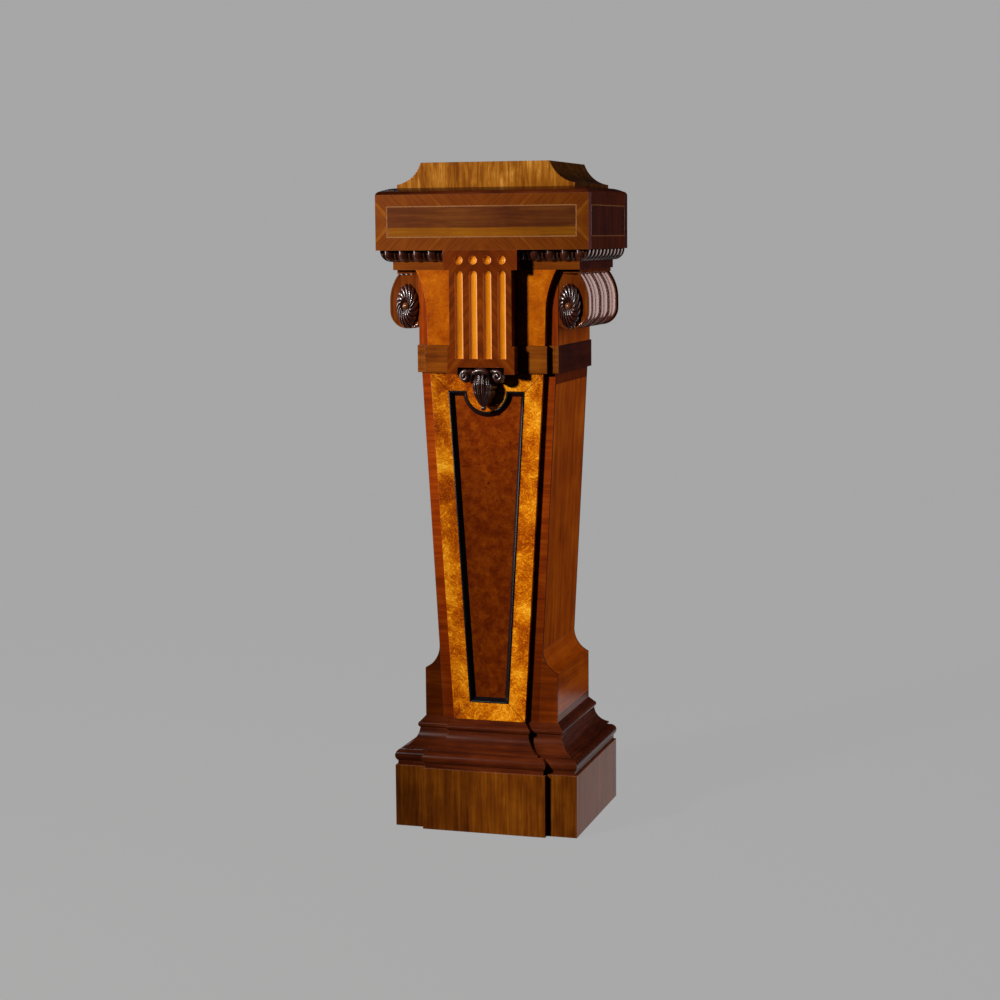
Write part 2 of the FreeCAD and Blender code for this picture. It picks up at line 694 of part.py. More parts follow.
def collar():
    """A band of four pieces round the top of the column; its front breaks forward."""
    heights = ("collar_low", "collar_high")
    for side, sign in SIDES:
        near = "shaft_half_width" if sign > 0 else "-collar_half_width"
        far = "collar_half_width" if sign > 0 else "-shaft_half_width"
        keep(box(f"collar_{side}", (near, far), ("-collar_front", "collar_back"), heights),
             f"collar_{side}")
    keep(box("collar_back_strip", ("-shaft_half_width", "shaft_half_width"),
             ("column_back", "collar_back"), heights), "collar_back")
    front = [("-shaft_half_width", "-column_front"), ("-shaft_half_width", "-collar_front"),
             ("-collar_break_half", "-collar_front"),
             ("-collar_break_half", "-collar_break_front"),
             ("collar_break_half", "-collar_break_front"),
             ("collar_break_half", "-collar_front"),
             ("shaft_half_width", "-collar_front"), ("shaft_half_width", "-column_front")]
    keep(slab("collar_front_strip", front, *heights), "collar_front")


# ------------------------------------------------------------------ capital


def neck():
    """The box behind the capital and the flared burr panel on its front."""
    heights = ("collar_high", "abacus_low")
    inner = "neck_half_width - board"
    for side, sign in SIDES:
        x_range = (inner, "neck_half_width") if sign > 0 else ("-neck_half_width", f"-({inner})")
        blank = box(f"neck_{side}_board", x_range, ("-column_front", "column_back"), heights)
        drilled(f"neck_{side}", blank, screws_named("head", (side,)))
    between = (f"-({inner})", inner)
    keep(box("neck_front", between, ("-column_front", "-column_front + board"), heights),
         "neck_front")
    keep(box("neck_back", between, ("column_back - board", "column_back"), heights), "neck_back")
    panel = [("-flare_half_low", "collar_high"), ("flare_half_low", "collar_high"),
             ("flare_half_start", "flare_start", "flare_radius", "left"),
             ("flare_half_top", "abacus_low"),
             ("-flare_half_top", "abacus_low", "flare_radius", "left"),
             ("-flare_half_start", "flare_start")]
    keep(plate("neck_panel", panel, "-flare_front", "-column_front"), "neck_panel")


def console_outline(inset):
    """Front view of the right-hand bolster, or of its core as far in as inset says. The
    last corners close it under the small fillet."""
    return [
        ("neck_half_width", "abacus_low - console_fillet"),
        ("neck_half_width", f"console_root + {inset}", "console_hollow_radius", "left"),
        ("console_hollow_end", f"console_low + {inset}"),
        ("console_reach - console_round", f"console_low + {inset}",
         f"console_round - {inset}", "right"),
        (f"console_reach - {inset}", "console_low + console_round"),
        (f"console_reach - {inset}", "console_straight", f"console_lean_radius - {inset}",
         "right"),
        (f"console_top_reach - {inset}", "abacus_low - console_fillet"),
    ]


def consoles():
    """A solid bolster on each side of the neck. Grooves part it into wide and narrow reeds,
    and a carved rosette sits on its front."""
    outer = console_outline("0")
    whole = outer + [("console_fillet_reach", "abacus_low - console_fillet"),
                     ("console_fillet_reach", "abacus_low"), ("neck_half_width", "abacus_low")]
    core = console_outline("reed_groove")
    faces = ("-column_front", "column_back")
    for side, sign in SIDES:
        name = f"console_{side}"
        strips = []
        groove_end = "-column_front"
        for count, reed in enumerate(("wide_reed", "narrow_reed") * REED_PAIRS):
            groove_end = f"{groove_end} + {reed}"
            strips.append(box(f"{name}_groove_{count}",
                              ("-frieze_half_width", "frieze_half_width"),
                              (f"{groove_end} - reed_groove / 2",
                               f"{groove_end} + reed_groove / 2"),
                              ("column_back", "abacus_low - console_fillet")))
        rind = combine("Cut", name + "_rind", plate(name + "_reeds", on_side(outer, sign), *faces),
                       plate(name + "_core", on_side(core, sign), *faces))
        grooves = combine("Common", name + "_grooves", rind, group(name + "_strips", strips))
        blank = plate(name + "_blank", on_side(whole, sign), *faces)
        keep(combine("Cut", name, blank, grooves), name)
        rosette(side, sign)


def rosette(side, sign):
    """A low oval dome with a round boss."""
    name = f"rosette_{side}"
    centre = (f"{sign} * rosette_x", "-column_front", "rosette_z")
    dome = doc.addObject("Part::Ellipsoid", name + "_dome")
    dome.setExpression("Radius1", bind("rosette_half_height"))
    dome.setExpression("Radius2", bind("rosette_half_width"))
    dome.setExpression("Radius3", bind("rosette_rise"))
    place(dome, *centre)
    boss = doc.addObject("Part::Sphere", name + "_boss")
    boss.setExpression("Radius", bind("boss_radius"))
    place(boss, centre[0], "-column_front - rosette_rise + boss_sink", centre[2])
    front_half = box(name + "_front_half",
                     (f"{centre[0]} - 2 * rosette_half_width",
                      f"{centre[0]} + 2 * rosette_half_width"),
                     ("-column_front - 2 * rosette_rise", "-column_front"),
                     ("rosette_z - 2 * rosette_half_height", "rosette_z + 2 * rosette_half_height"))
    raised = combine("Fuse", name + "_raised", dome, boss)
    keep(combine("Common", name, raised, front_half), name)


def fluted_block():
    """The block that stands forward of the neck: a head with four sunk dots, a fluted body
    and a base that is housed out underneath for the carved drop."""
    body = new_body("fluted_block_body")
    base_back = "-collar_break_front"
    silhouette = [
        ("-block_base_half", "collar_low"),
        ("-notch_half", "collar_low"),
        ("-notch_half", "collar_low + notch_height"),
        ("notch_half", "collar_low + notch_height"),
        ("notch_half", "collar_low"),
        ("block_base_half", "collar_low"),
        ("block_base_half", "collar_high"),
        ("block_half_width", "collar_high"),
        ("block_half_width", "abacus_low"),
        ("block_head_half", "abacus_low"),
        ("block_head_half", "frieze_low"),
        ("-block_head_half", "frieze_low"),
        ("-block_head_half", "abacus_low"),
        ("-block_half_width", "abacus_low"),
        ("-block_half_width", "collar_high"),
        ("-block_base_half", "collar_high"),
    ]
    pad(body, sketch(body, "block_silhouette", "XZ_Plane", silhouette, f"-({base_back})"),
        f"block_front + ({base_back})")
    above_collar = silhouette[7:15]
    pad(body, sketch(body, "block_above_collar", "XZ_Plane", above_collar, "flare_front"),
        "collar_break_front - flare_front")
    first = f"-flute_pitch * {(FLUTES - 1) / 2}"
    axis_plane = "block_front + flute_axis_out"
    flute = [
        ("0", "flute_low"),
        ("flute_radius", "flute_low"),
        ("flute_radius", "flute_high - flute_radius", "flute_radius", "right"),
        ("0", "flute_high"),
    ]
    dot = [
        ("0", "dot_height - dot_radius", "dot_radius", "right"),
        ("dot_radius", "dot_height", "dot_radius", "right"),
        ("0", "dot_height + dot_radius"),
    ]
    cuts = [groove(body, sketch(body, "flute_half", "XZ_Plane", flute, axis_plane, first)),
            groove(body, sketch(body, "dot_half", "XZ_Plane", dot, axis_plane, first))]
    row = body.newObject("PartDesign::LinearPattern", "flute_row")
    row.Originals = cuts
    row.Direction = (cuts[0].Profile[0], ["H_Axis"])
    row.setExpression("Length", bind(f"flute_pitch * {FLUTES - 1}"))
    row.Occurrences = FLUTES
    body.Tip = row
    keep(body, "fluted_block")


def leaf_drop():
    """A tapering drop under the fluted block, with a scroll on each side of its top and a
    bead at its tip."""
    high = "(collar_low + notch_height)"
    front_view = [
        ("-drop_tip_half", "drop_low"),
        ("drop_tip_half", "drop_low", "drop_side_radius", "right"),
        ("drop_half_width", "drop_full_height"),
        ("drop_half_width", high),
        ("-drop_half_width", high),
        ("-drop_half_width", "drop_full_height", "drop_side_radius", "right"),
    ]
    side_view = [
        (f"-{STEP_FRONT}", "drop_low"),
        (f"-{STEP_FRONT}", "collar_low"),
        ("-collar_break_front", "collar_low"),
        ("-collar_break_front", high),
        ("-drop_front", high),
        ("-drop_front", "drop_full_height"),
        ("-drop_tip_front", "drop_low"),
    ]
    across = new_body("leaf_drop_across")
    pad(across, sketch(across, "leaf_drop_side_view", "YZ_Plane", side_view,
                       "-drop_half_width"), "2 * drop_half_width")
    drop = combine("Common", "leaf_drop_stem", across,
                   plate("leaf_drop_front_view", front_view, "-drop_front - step_out", "0"))
    ends = []
    for side, sign in SIDES:
        scroll = doc.addObject("Part::Cylinder", f"leaf_scroll_{side}")
        scroll.setExpression("Radius", bind("scroll_radius"))
        scroll.setExpression("Height", bind("scroll_front - collar_break_front"))
        scroll.Placement.Rotation = FreeCAD.Rotation(Vector(1, 0, 0), QUARTER_TURN)
        place(scroll, f"{sign} * scroll_x", "-collar_break_front", "scroll_z")
        ends.append(scroll)
    bead = doc.addObject("Part::Sphere", "leaf_bead")
    bead.setExpression("Radius", bind("drop_bead"))
    place(bead, "0", f"-{STEP_FRONT} - drop_bead", "drop_low")
    whole = doc.addObject("Part::MultiFuse", "leaf_drop_whole")
    whole.Shapes = [drop, bead] + ends
    keep(whole, "leaf_drop")


def abacus():
    """The flat board over the neck and the thicker soffit board inside the egg moulding."""
    x_range = ("-abacus_half_width", "abacus_half_width")
    y_range = ("-flare_front", "abacus_back")
    drilled("abacus_board", box("abacus_blank", x_range, y_range, ("abacus_low", "abacus_high")),
            screws_named("head"))
    drilled("soffit_board", box("soffit_blank", x_range, y_range, ("abacus_high", "frieze_low")),
            screws_named("head"))


def egg_mouldings():
    """Mitred lengths of the quarter-round that is carved with eggs and darts. The front
    ones stop against the fluted block's head."""
    profile = [
        ("ovolo_foot_reach", "abacus_high"),
        ("ovolo_foot_reach", "abacus_high + ovolo_foot", "ovolo_radius", "right"),
        ("ovolo_reach", "frieze_low - ovolo_lip"),
        ("ovolo_reach", "frieze_low"),
    ]
    block = moulded_block("egg_moulding_block", profile, "abacus_half_width", "flare_front",
                          "abacus_back")
    heights = ("abacus_high", "frieze_low")
    for side, sign in SIDES:
        length_of(f"egg_moulding_{side}", block,
                  side_footprint(sign, "abacus_half_width", "flare_front", "abacus_back"),
                  *heights)
        inner, outer = mitred_corner(sign, "abacus_half_width", -1, "flare_front")
        square_end = f"{sign} * block_head_half"
        length_of(f"egg_moulding_front_{side}", block,
                  [inner, outer, (square_end, outer[1]), (square_end, inner[1])], *heights)
    length_of("egg_moulding_back", block, back_footprint("abacus_half_width", "abacus_back"),
              *heights)


# ------------------------------------------------------------------ frieze, top and cap


def string_ring(name, x_range, y_range, thin_axis):
    """A rectangle of light stringing let into a face of the frieze."""
    z_range = ("frieze_low + border_low", "frieze_high - border_high")

    def shrunk(limits):
        return (f"({limits[0]}) + string_width", f"({limits[1]}) - string_width")
    outer = box(name + "_outer", x_range, y_range, z_range)
    if thin_axis == "y":
        inner = box(name + "_inner", shrunk(x_range), y_range, shrunk(z_range))
    else:
        inner = box(name + "_inner", x_range, shrunk(y_range), shrunk(z_range))
    return combine("Cut", name, outer, inner)


def frieze():
    """A wide box of boards with light stringing let into its front and sides."""
    front = "frieze_front"
    back = "frieze_back"
    rings = {"front": string_ring("string_front",
                                  ("-frieze_half_width + border", "frieze_half_width - border"),
                                  (f"-{front}", f"-{front} + string_depth"), "y")}
    for side, sign in SIDES:
        outer = f"{sign} * frieze_half_width"
        inner = f"{sign} * (frieze_half_width - string_depth)"
        x_range = (inner, outer) if sign > 0 else (outer, inner)
        rings[side] = string_ring(f"string_{side}", x_range,
                                  (f"-{front} + border", f"{back} - border"), "x")
    board_box("frieze", "frieze_half_width", front, back, "frieze_low", "frieze_high", rings)
    keep(group("stringing", list(rings.values())), "stringing")
    corner_blocks("frieze_glue_blocks", "frieze_half_width", front, back,
                  "frieze_high - frieze_block_height", "frieze_high")


def top_and_cap():
    """The top board with its rounded edge and the cap, hollow at both ends."""
    def edge(run):
        return [("0", "frieze_high", "nose_radius", "right"),
                ("-nose_run", "frieze_high + nose_rise", "lip_radius", "right"),
                (f"-{run}", "top_board_high")]
    keep(moulded_block("top_board_block", edge("lip_run"), "frieze_half_width",
                       "frieze_front", "frieze_back", edge("lip_run_back")), "top_board")
    fillet_top = "top_board_high + cap_fillet"
    outline = [
        ("-cap_base_half", "top_board_high"),
        ("cap_base_half", "top_board_high"),
        ("cap_base_half", fillet_top, "cap_radius", "left"),
        ("cap_top_half", "total_height"),
        ("-cap_top_half", "total_height", "cap_radius", "left"),
        ("-cap_base_half", fillet_top),
    ]
    keep(plate("cap_block", outline, "-cap_front", "cap_back"), "cap_block")


# ------------------------------------------------------------------ build, test and write

plinth()
base_platform()
base_mouldings()
column()
front_frame()
sunk_panel()
collar()
neck()
consoles()
fluted_block()
leaf_drop()
abacus()
egg_mouldings()
frieze()
top_and_cap()
wood_screws()
doc.recompute()

for piece in doc.Objects:
    if "Invalid" in piece.State or "Error" in piece.State:
        raise RuntimeError(f"{piece.Label} failed: {piece.State}")
for piece in nodes:
    if piece.Shape.isNull() or not piece.Shape.isValid() or not piece.Shape.Solids:
        raise RuntimeError(f"{piece.Label} has no valid solid")

os.makedirs("parts", exist_ok=True)
for piece in nodes:
    piece.Shape.exportStep(f"parts/{piece.Label}.step")

whole = Part.makeCompound([piece.Shape for piece in nodes]).BoundBox
print(len(nodes), "pieces; box", [round(number, 2) for number in
      (whole.XMin, whole.XMax, whole.YMin, whole.YMax, whole.ZMin, whole.ZMax)])
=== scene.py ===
import json
import math

import bmesh
import bpy
from mathutils import Matrix, Vector

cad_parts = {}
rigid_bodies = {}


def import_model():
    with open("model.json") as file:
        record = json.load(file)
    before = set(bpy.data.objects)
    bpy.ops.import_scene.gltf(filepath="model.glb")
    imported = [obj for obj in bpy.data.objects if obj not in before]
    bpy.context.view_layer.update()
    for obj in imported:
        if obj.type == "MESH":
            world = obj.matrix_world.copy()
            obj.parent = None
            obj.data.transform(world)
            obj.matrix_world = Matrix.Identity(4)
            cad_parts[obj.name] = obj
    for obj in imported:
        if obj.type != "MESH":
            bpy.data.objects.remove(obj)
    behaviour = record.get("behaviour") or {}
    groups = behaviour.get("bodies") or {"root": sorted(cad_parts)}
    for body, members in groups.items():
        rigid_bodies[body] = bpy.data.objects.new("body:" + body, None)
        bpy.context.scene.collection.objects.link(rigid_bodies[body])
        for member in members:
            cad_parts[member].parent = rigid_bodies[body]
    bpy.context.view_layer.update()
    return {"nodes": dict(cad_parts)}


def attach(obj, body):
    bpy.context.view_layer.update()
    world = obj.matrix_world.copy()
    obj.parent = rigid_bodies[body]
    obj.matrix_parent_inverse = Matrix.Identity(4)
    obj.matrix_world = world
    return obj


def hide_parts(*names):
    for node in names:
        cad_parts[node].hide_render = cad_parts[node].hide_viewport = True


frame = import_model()

# Looks of a veneered pedestal. Metres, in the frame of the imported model: +Z up, front -Y.
# Wood patterns use object coordinates, which are the shared frame's own metres, so one
# veneer runs on across the pieces that it covers.

NODES = frame["nodes"]
SIDES = (("left", -1), ("right", 1))


# ------------------------------------------------------------------ material nodes


class Wood:
    """A node material under construction. Its helpers return output sockets."""

    def __init__(self, name, roughness=0.15, coat=0.0, coat_roughness=0.14, sheen=0.25):
        self.material = bpy.data.materials.new(name)
        self.material.use_nodes = True
        self.tree = self.material.node_tree
        self.tree.nodes.clear()
        self.shader = self.add("ShaderNodeBsdfPrincipled")
        output = self.add("ShaderNodeOutputMaterial")
        self.join(self.shader.outputs["BSDF"], output.inputs["Surface"])
        self.shader.inputs["Roughness"].default_value = roughness
        self.shader.inputs["Specular IOR Level"].default_value = sheen
        self.shader.inputs["Coat Weight"].default_value = coat
        self.shader.inputs["Coat Roughness"].default_value = coat_roughness
        self.place = self.add("ShaderNodeTexCoord").outputs["Object"]
        self.x, self.y, self.z = self.split(self.place)

    def add(self, kind, **settings):
        node = self.tree.nodes.new(kind)
        for key, setting in settings.items():
            setattr(node, key, setting)
        return node

    def join(self, source, target):
        self.tree.links.new(source, target)

    def put(self, source, target):
        if isinstance(source, bpy.types.NodeSocket):
            self.join(source, target)
        else:
            target.default_value = source

    def split(self, vector):
        node = self.add("ShaderNodeSeparateXYZ")
        self.join(vector, node.inputs[0])
        return node.outputs

    def combine(self, *parts):
        node = self.add("ShaderNodeCombineXYZ")
        for part, target in zip(parts, node.inputs):
            self.put(part, target)
        return node.outputs[0]

    def math(self, operation, first, second=0.0, clamp=False):
        node = self.add("ShaderNodeMath", operation=operation, use_clamp=clamp)
        self.put(first, node.inputs[0])
        self.put(second, node.inputs[1])
        return node.outputs[0]

    def blend(self, *shares):
        """Sum of (value, weight) pairs."""
        total = self.math("MULTIPLY", *shares[0])
        for share in shares[1:]:
            total = self.math("ADD", total, self.math("MULTIPLY", *share))
        return total

    def mix(self, factor, first, second, blend="MIX"):
        node = self.add("ShaderNodeMix", data_type="RGBA", blend_type=blend)
        self.put(factor, node.inputs[0])
        self.put(colour(first), node.inputs[6])
        self.put(colour(second), node.inputs[7])
        return node.outputs[2]

    def darker(self, factor, shade, amount):
        """Shade times amount where factor is 1."""
        return self.mix(factor, shade, self.mix(1.0, shade, (amount,) * 3, "MULTIPLY"))

    def ramp(self, factor, stops):
        node = self.add("ShaderNodeValToRGB")
        ramp = node.color_ramp
        while len(ramp.elements) < len(stops):
            ramp.elements.new(0.5)
        for element, (position, shade) in zip(ramp.elements, stops):
            element.position = position
            element.color = colour(shade)
        self.join(factor, node.inputs[0])
        return node.outputs[0]

    def spread(self, factor, low, high):
        """0 at low, 1 at high, straight between them and level outside."""
        node = self.add("ShaderNodeMapRange")
        self.put(factor, node.inputs[0])
        node.inputs[1].default_value = low
        node.inputs[2].default_value = high
        return node.outputs[0]

    def stretched(self, scale, source=None):
        node = self.add("ShaderNodeMapping")
        self.join(source or self.place, node.inputs[0])
        node.inputs[3].default_value = scale
        return node.outputs[0]

    def slanted(self, degrees, source):
        node = self.add("ShaderNodeVectorRotate", rotation_type="Y_AXIS")
        self.join(source, node.inputs["Vector"])
        node.inputs["Angle"].default_value = math.radians(degrees)
        return node.outputs[0]

    def noise(self, where, scale, detail=4.0, rough=0.55, warp=0.0):
        node = self.add("ShaderNodeTexNoise")
        self.join(where, node.inputs["Vector"])
        node.inputs["Scale"].default_value = scale
        node.inputs["Detail"].default_value = detail
        node.inputs["Roughness"].default_value = rough
        node.inputs["Distortion"].default_value = warp
        return node.outputs[0]

    def within(self, coordinate, low, high, soft=0.0003):
        """1 between two planes, 0 outside them."""
        return self.math("MULTIPLY", self.spread(coordinate, low - soft, low + soft),
                         self.spread(coordinate, high + soft, high - soft))

    def facing(self, axis, low=0.60, high=0.70):
        """1 where the surface looks along an axis, either way."""
        node = self.add("ShaderNodeNewGeometry")
        part = self.split(node.outputs["Normal"])["xyz".index(axis)]
        return self.spread(self.math("ABSOLUTE", part), low, high)

    def bump(self, height, depth):
        node = self.add("ShaderNodeBump")
        node.inputs["Strength"].default_value = 1.0
        node.inputs["Distance"].default_value = depth
        self.join(height, node.inputs["Height"])
        self.join(node.outputs[0], self.shader.inputs["Normal"])

    def lighten_edges_as_wear_and_highlight(self, shade, amount=0.30):
        """Arrises are made a little lighter, as wear and as a painted highlight line along them.
        They are where the rounded normal turns away.
        """
        rounded = self.add("ShaderNodeBevel", samples=4)
        rounded.inputs["Radius"].default_value = EDGE_WEAR_AND_HIGHLIGHT_RADIUS
        flat = self.add("ShaderNodeNewGeometry").outputs["Normal"]
        turn = self.add("ShaderNodeVectorMath", operation="DOT_PRODUCT")
        self.join(rounded.outputs[0], turn.inputs[0])
        self.join(flat, turn.inputs[1])
        edge_wear_and_highlight = self.math("MULTIPLY", self.spread(turn.outputs["Value"], 0.97, 0.80), amount)
        return self.mix(edge_wear_and_highlight, shade, EDGE_WEAR_AND_HIGHLIGHT_COLOUR)

    def finish(self, shade, gloss=None):
        self.join(shade, self.shader.inputs["Base Color"])
        if gloss is not None:
            self.join(gloss, self.shader.inputs["Roughness"])
        return self.material


def colour(shade):
    """Three numbers become an opaque colour; a socket stays a socket."""
    if isinstance(shade, bpy.types.NodeSocket):
        return shade
    return (*shade, 1.0) if len(shade) == 3 else shade


ALONG = {"x": (0.05, 1.0, 1.0), "y": (1.0, 0.05, 1.0), "z": (1.0, 1.0, 0.05)}


def grain(wood, stops, along, scale=1.0, source=None, contrast=1.0):
    """Straight grain: long streaks, fine pores and slow changes of shade."""
    where = wood.stretched(ALONG[along], source)
    streak = wood.noise(where, 120.0 * scale, 5.0, 0.60, 0.5)
    pore = wood.noise(where, 700.0 * scale, 2.0, 0.7)
    cloud = wood.noise(wood.stretched((1.0, 1.0, 1.0), source), 14.0, 3.0)
    level = wood.blend((streak, 0.50), (cloud, 0.34), (pore, 0.16))
    half = 0.15 / contrast
    return wood.ramp(wood.spread(level, 0.5 - half, 0.5 + half), stops), streak


def burr(wood, stops, scale=1.0, speck=0.0, bold=1.0):
    """Curling burr figure with fine glints, and small dark eyes where speck is set."""
    drift = wood.add("ShaderNodeTexNoise")
    wood.join(wood.place, drift.inputs["Vector"])
    drift.inputs["Scale"].default_value = 30.0 * scale
    drift.inputs["Detail"].default_value = 2.0
    pushed = wood.add("ShaderNodeVectorMath", operation="MULTIPLY_ADD")
    wood.join(drift.outputs[1], pushed.inputs[0])
    pushed.inputs[1].default_value = (0.045 / scale,) * 3
    wood.join(wood.place, pushed.inputs[2])
    moved = pushed.outputs[0]
    cloud = wood.noise(moved, 26.0 * scale, 3.0, 0.6)
    curl = wood.noise(wood.stretched((1.0, 1.0, 1.7), moved), 120.0 * scale, 4.0, 0.62, 1.6)
    ridge = wood.math("ABSOLUTE", wood.math("SUBTRACT", curl, 0.5))
    glint = wood.noise(moved, 420.0 * scale, 2.0, 0.6)
    level = wood.blend((wood.spread(cloud, 0.32, 0.68), 0.50),
                       (wood.spread(ridge, 0.0, 0.14), 0.32),
                       (wood.spread(glint, 0.30, 0.70), 0.18))
    half = 0.5 / bold
    shade = wood.ramp(wood.spread(level, 0.5 - half, 0.5 + half), stops)
    if speck:
        eyes = wood.add("ShaderNodeTexVoronoi", feature="F1")
        wood.join(moved, eyes.inputs["Vector"])
        eyes.inputs["Scale"].default_value = 34.0 * scale
        dark = wood.spread(eyes.outputs["Distance"], 0.15, 0.08)
        shade = wood.darker(wood.math("MULTIPLY", dark, speck), shade, 0.18)
    return shade, curl


def evenly(*shades):
    """Colour stops at even steps from 0 to 1."""
    return tuple((index / (len(shades) - 1), shade) for index, shade in enumerate(shades))


BAND = evenly((0.120, 0.015, 0.0012), (0.230, 0.030, 0.0015), (0.350, 0.065, 0.0030))
FOOT = evenly((0.068, 0.011, 0.0012), (0.145, 0.022, 0.0015), (0.250, 0.046, 0.0020))
DARK = evenly((0.030, 0.006, 0.0030), (0.075, 0.013, 0.0035), (0.130, 0.026, 0.0060))
COLLAR = evenly((0.085, 0.018, 0.0022), (0.185, 0.043, 0.0028), (0.300, 0.088, 0.0060))
DEEP = evenly((0.022, 0.005, 0.0035), (0.055, 0.010, 0.0060), (0.100, 0.020, 0.0090))
PLINTH = evenly((0.056, 0.012, 0.0020), (0.140, 0.034, 0.0025), (0.260, 0.078, 0.0050))
# The plinth's side colour is paler and pinker than its front: the side veneer with a painted
# reflection of the pink soft box.
PLINTH_SIDE_WITH_PAINTED_SHEEN = evenly((0.170, 0.055, 0.0220), (0.250, 0.080, 0.0330), (0.330, 0.110, 0.0480))
BLOCK = evenly((0.070, 0.010, 0.0010), (0.125, 0.020, 0.0014), (0.210, 0.045, 0.0025))
FLUTE = evenly((0.420, 0.125, 0.0020), (0.570, 0.185, 0.0040), (0.720, 0.280, 0.0150))
CONSOLE = evenly((0.065, 0.010, 0.0010), (0.120, 0.022, 0.0014), (0.190, 0.045, 0.0030))
REED = evenly((0.120, 0.017, 0.0012), (0.220, 0.038, 0.0016), (0.340, 0.085, 0.0040))
SIDE = evenly((0.260, 0.045, 0.0010), (0.460, 0.095, 0.0015), (0.640, 0.170, 0.0040))
INLAY_DARK = evenly((0.055, 0.012, 0.0035), (0.098, 0.024, 0.0045), (0.150, 0.045, 0.0070))
INLAY_LIGHT = evenly((0.150, 0.044, 0.0020), (0.215, 0.066, 0.0025), (0.300, 0.105, 0.0045))
# A pinkish strip on the frieze's sides by the front: a painted reflection of the pink soft box.
FRIEZE_EDGE_PAINTED_REFLECTION = evenly((0.130, 0.040, 0.0420), (0.200, 0.070, 0.0700))
STRINGING = evenly((0.200, 0.080, 0.0250), (0.320, 0.145, 0.0550))
PINE = evenly((0.340, 0.200, 0.0900), (0.460, 0.290, 0.1400), (0.560, 0.380, 0.2000))
CARVING = evenly((0.012, 0.003, 0.0020), (0.030, 0.007, 0.0045), (0.060, 0.014, 0.0080))
PETAL = evenly((0.016, 0.004, 0.0025), (0.040, 0.009, 0.0055), (0.080, 0.019, 0.0100))
BOSS = evenly((0.080, 0.018, 0.0040), (0.150, 0.040, 0.0080), (0.230, 0.070, 0.0150))
EGG = evenly((0.030, 0.007, 0.0030), (0.060, 0.014, 0.0060), (0.100, 0.026, 0.0100))
STEEL = evenly((0.340, 0.340, 0.3500), (0.500, 0.500, 0.5100))
FEATHER = ((0.0, (0.095, 0.017, 0.0014)), (0.45, (0.150, 0.032, 0.0018)),
           (0.8, (0.195, 0.048, 0.0025)), (1.0, (0.260, 0.075, 0.0050)))
GOLD = ((0.0, (0.190, 0.024, 0.0010)), (0.30, (0.380, 0.070, 0.0012)),
        (0.50, (0.590, 0.150, 0.0020)), (0.72, (0.860, 0.300, 0.0050)),
        (1.0, (1.000, 0.520, 0.0350)))
NECK = ((0.0, (0.200, 0.026, 0.0008)), (0.30, (0.340, 0.062, 0.0008)),
        (0.60, (0.470, 0.108, 0.0012)), (1.0, (0.700, 0.210, 0.0040)))
PANEL = ((0.0, (0.078, 0.007, 0.0008)), (0.35, (0.150, 0.019, 0.0010)),
         (0.6, (0.225, 0.036, 0.0013)), (0.85, (0.300, 0.062, 0.0020)),
         (1.0, (0.390, 0.100, 0.0050)))
CAP = ((0.0, (0.140, 0.036, 0.0025)), (0.45, (0.235, 0.075, 0.0050)),
       (0.8, (0.350, 0.130, 0.0120)), (1.0, (0.480, 0.220, 0.0400)))
EBONY = ((0.3, (0.0025, 0.0022, 0.0030)), (0.7, (0.0075, 0.0070, 0.0090)))
# Colour and reach of the lighter arrises: edge wear together with a painted highlight line.
EDGE_WEAR_AND_HIGHLIGHT_COLOUR, EDGE_WEAR_AND_HIGHLIGHT_RADIUS = (0.30, 0.11, 0.05), 0.0014
# Paler colour near the flutes' lips: a painted highlight.
FLUTE_PAINTED_HIGHLIGHT = (0.98, 0.50, 0.24)

# Depths of the grain and of the finer figure, as the polish leaves them.
GRAIN_DEPTH, FIGURE_DEPTH, CAP_DEPTH, EBONY_DEPTH, REED_DEPTH = (
    0.00007, 0.00005, 0.00004, 0.00006, 0.00001)

# Places on the stand where one veneer meets another.
INLAY_MIDDLE, INLAY_LOW, INLAY_HIGH = 1.0957, 1.0690, 1.1225
INLAY_HALF, INLAY_FRONT, INLAY_BACK = 0.1732, -0.1207, 0.1282
STRIP_LOW, STRIP_HIGH = 1.0500, 1.0850
# CORNER_FRONT and CORNER_BACK bound that painted pinkish reflection strip, not a joint of
# veneers.
CORNER_FRONT, CORNER_BACK = -0.1440, -0.1230
FRIEZE_HALF = 0.195
CAP_TOP_LOW, CAP_TOP_HIGH = 1.1985, 1.1995
FLUTE_PITCH, FLUTE_START = 0.0262, 0.0786
FLUTES_HALF, FLUTES_LOW, FLUTES_HIGH = 0.0475, 0.854, 1.038
BLOCK_FACE_OUT, BLOCK_FACE_IN = -0.1483, -0.1479
SHAFT_CROSSBAND, FOOT_CROSSBAND = (0.8085, 0.8300), (0.1900, 0.2120)
EDGE_STRIPS = ((-0.1030, -0.0975), (0.1215, 0.1260))
MITRES = (((0.0671, 0.1985), (0.0370, 0.2305)), ((0.1049, 0.8285), (0.0710, 0.7965)))


def painted_light_falloff(wood, shade, steps):
    """Painted shade: a falloff of the light, painted into the colour. Steps is a list of (axis,
    from, to, factor): the colour darkens between those places.
    """
    for axis, start, end, factor in steps:
        place = (wood.x, wood.y, wood.z)["xyz".index(axis)]
        shade = wood.darker(wood.spread(place, start, end), shade, factor)
    return shade


def straight_wood(name, stops, along, roughness=0.15, contrast=1.0, lighten_edges_as_wear_and_highlight=True, low=(),
                  depth=GRAIN_DEPTH, **finish):
    """One straight-grained veneer. Low is a list of steps of painted shade, a falloff of the
    light, that it darkens along.
    """
    wood = Wood(name, roughness, **finish)
    shade, streak = grain(wood, stops, along, contrast=contrast)
    shade = painted_light_falloff(wood, shade, low)
    wood.bump(streak, depth)
    return wood.finish(wood.lighten_edges_as_wear_and_highlight(shade) if lighten_edges_as_wear_and_highlight else shade,
                       wood.blend((streak, 0.10), (1.0, roughness - 0.05)))


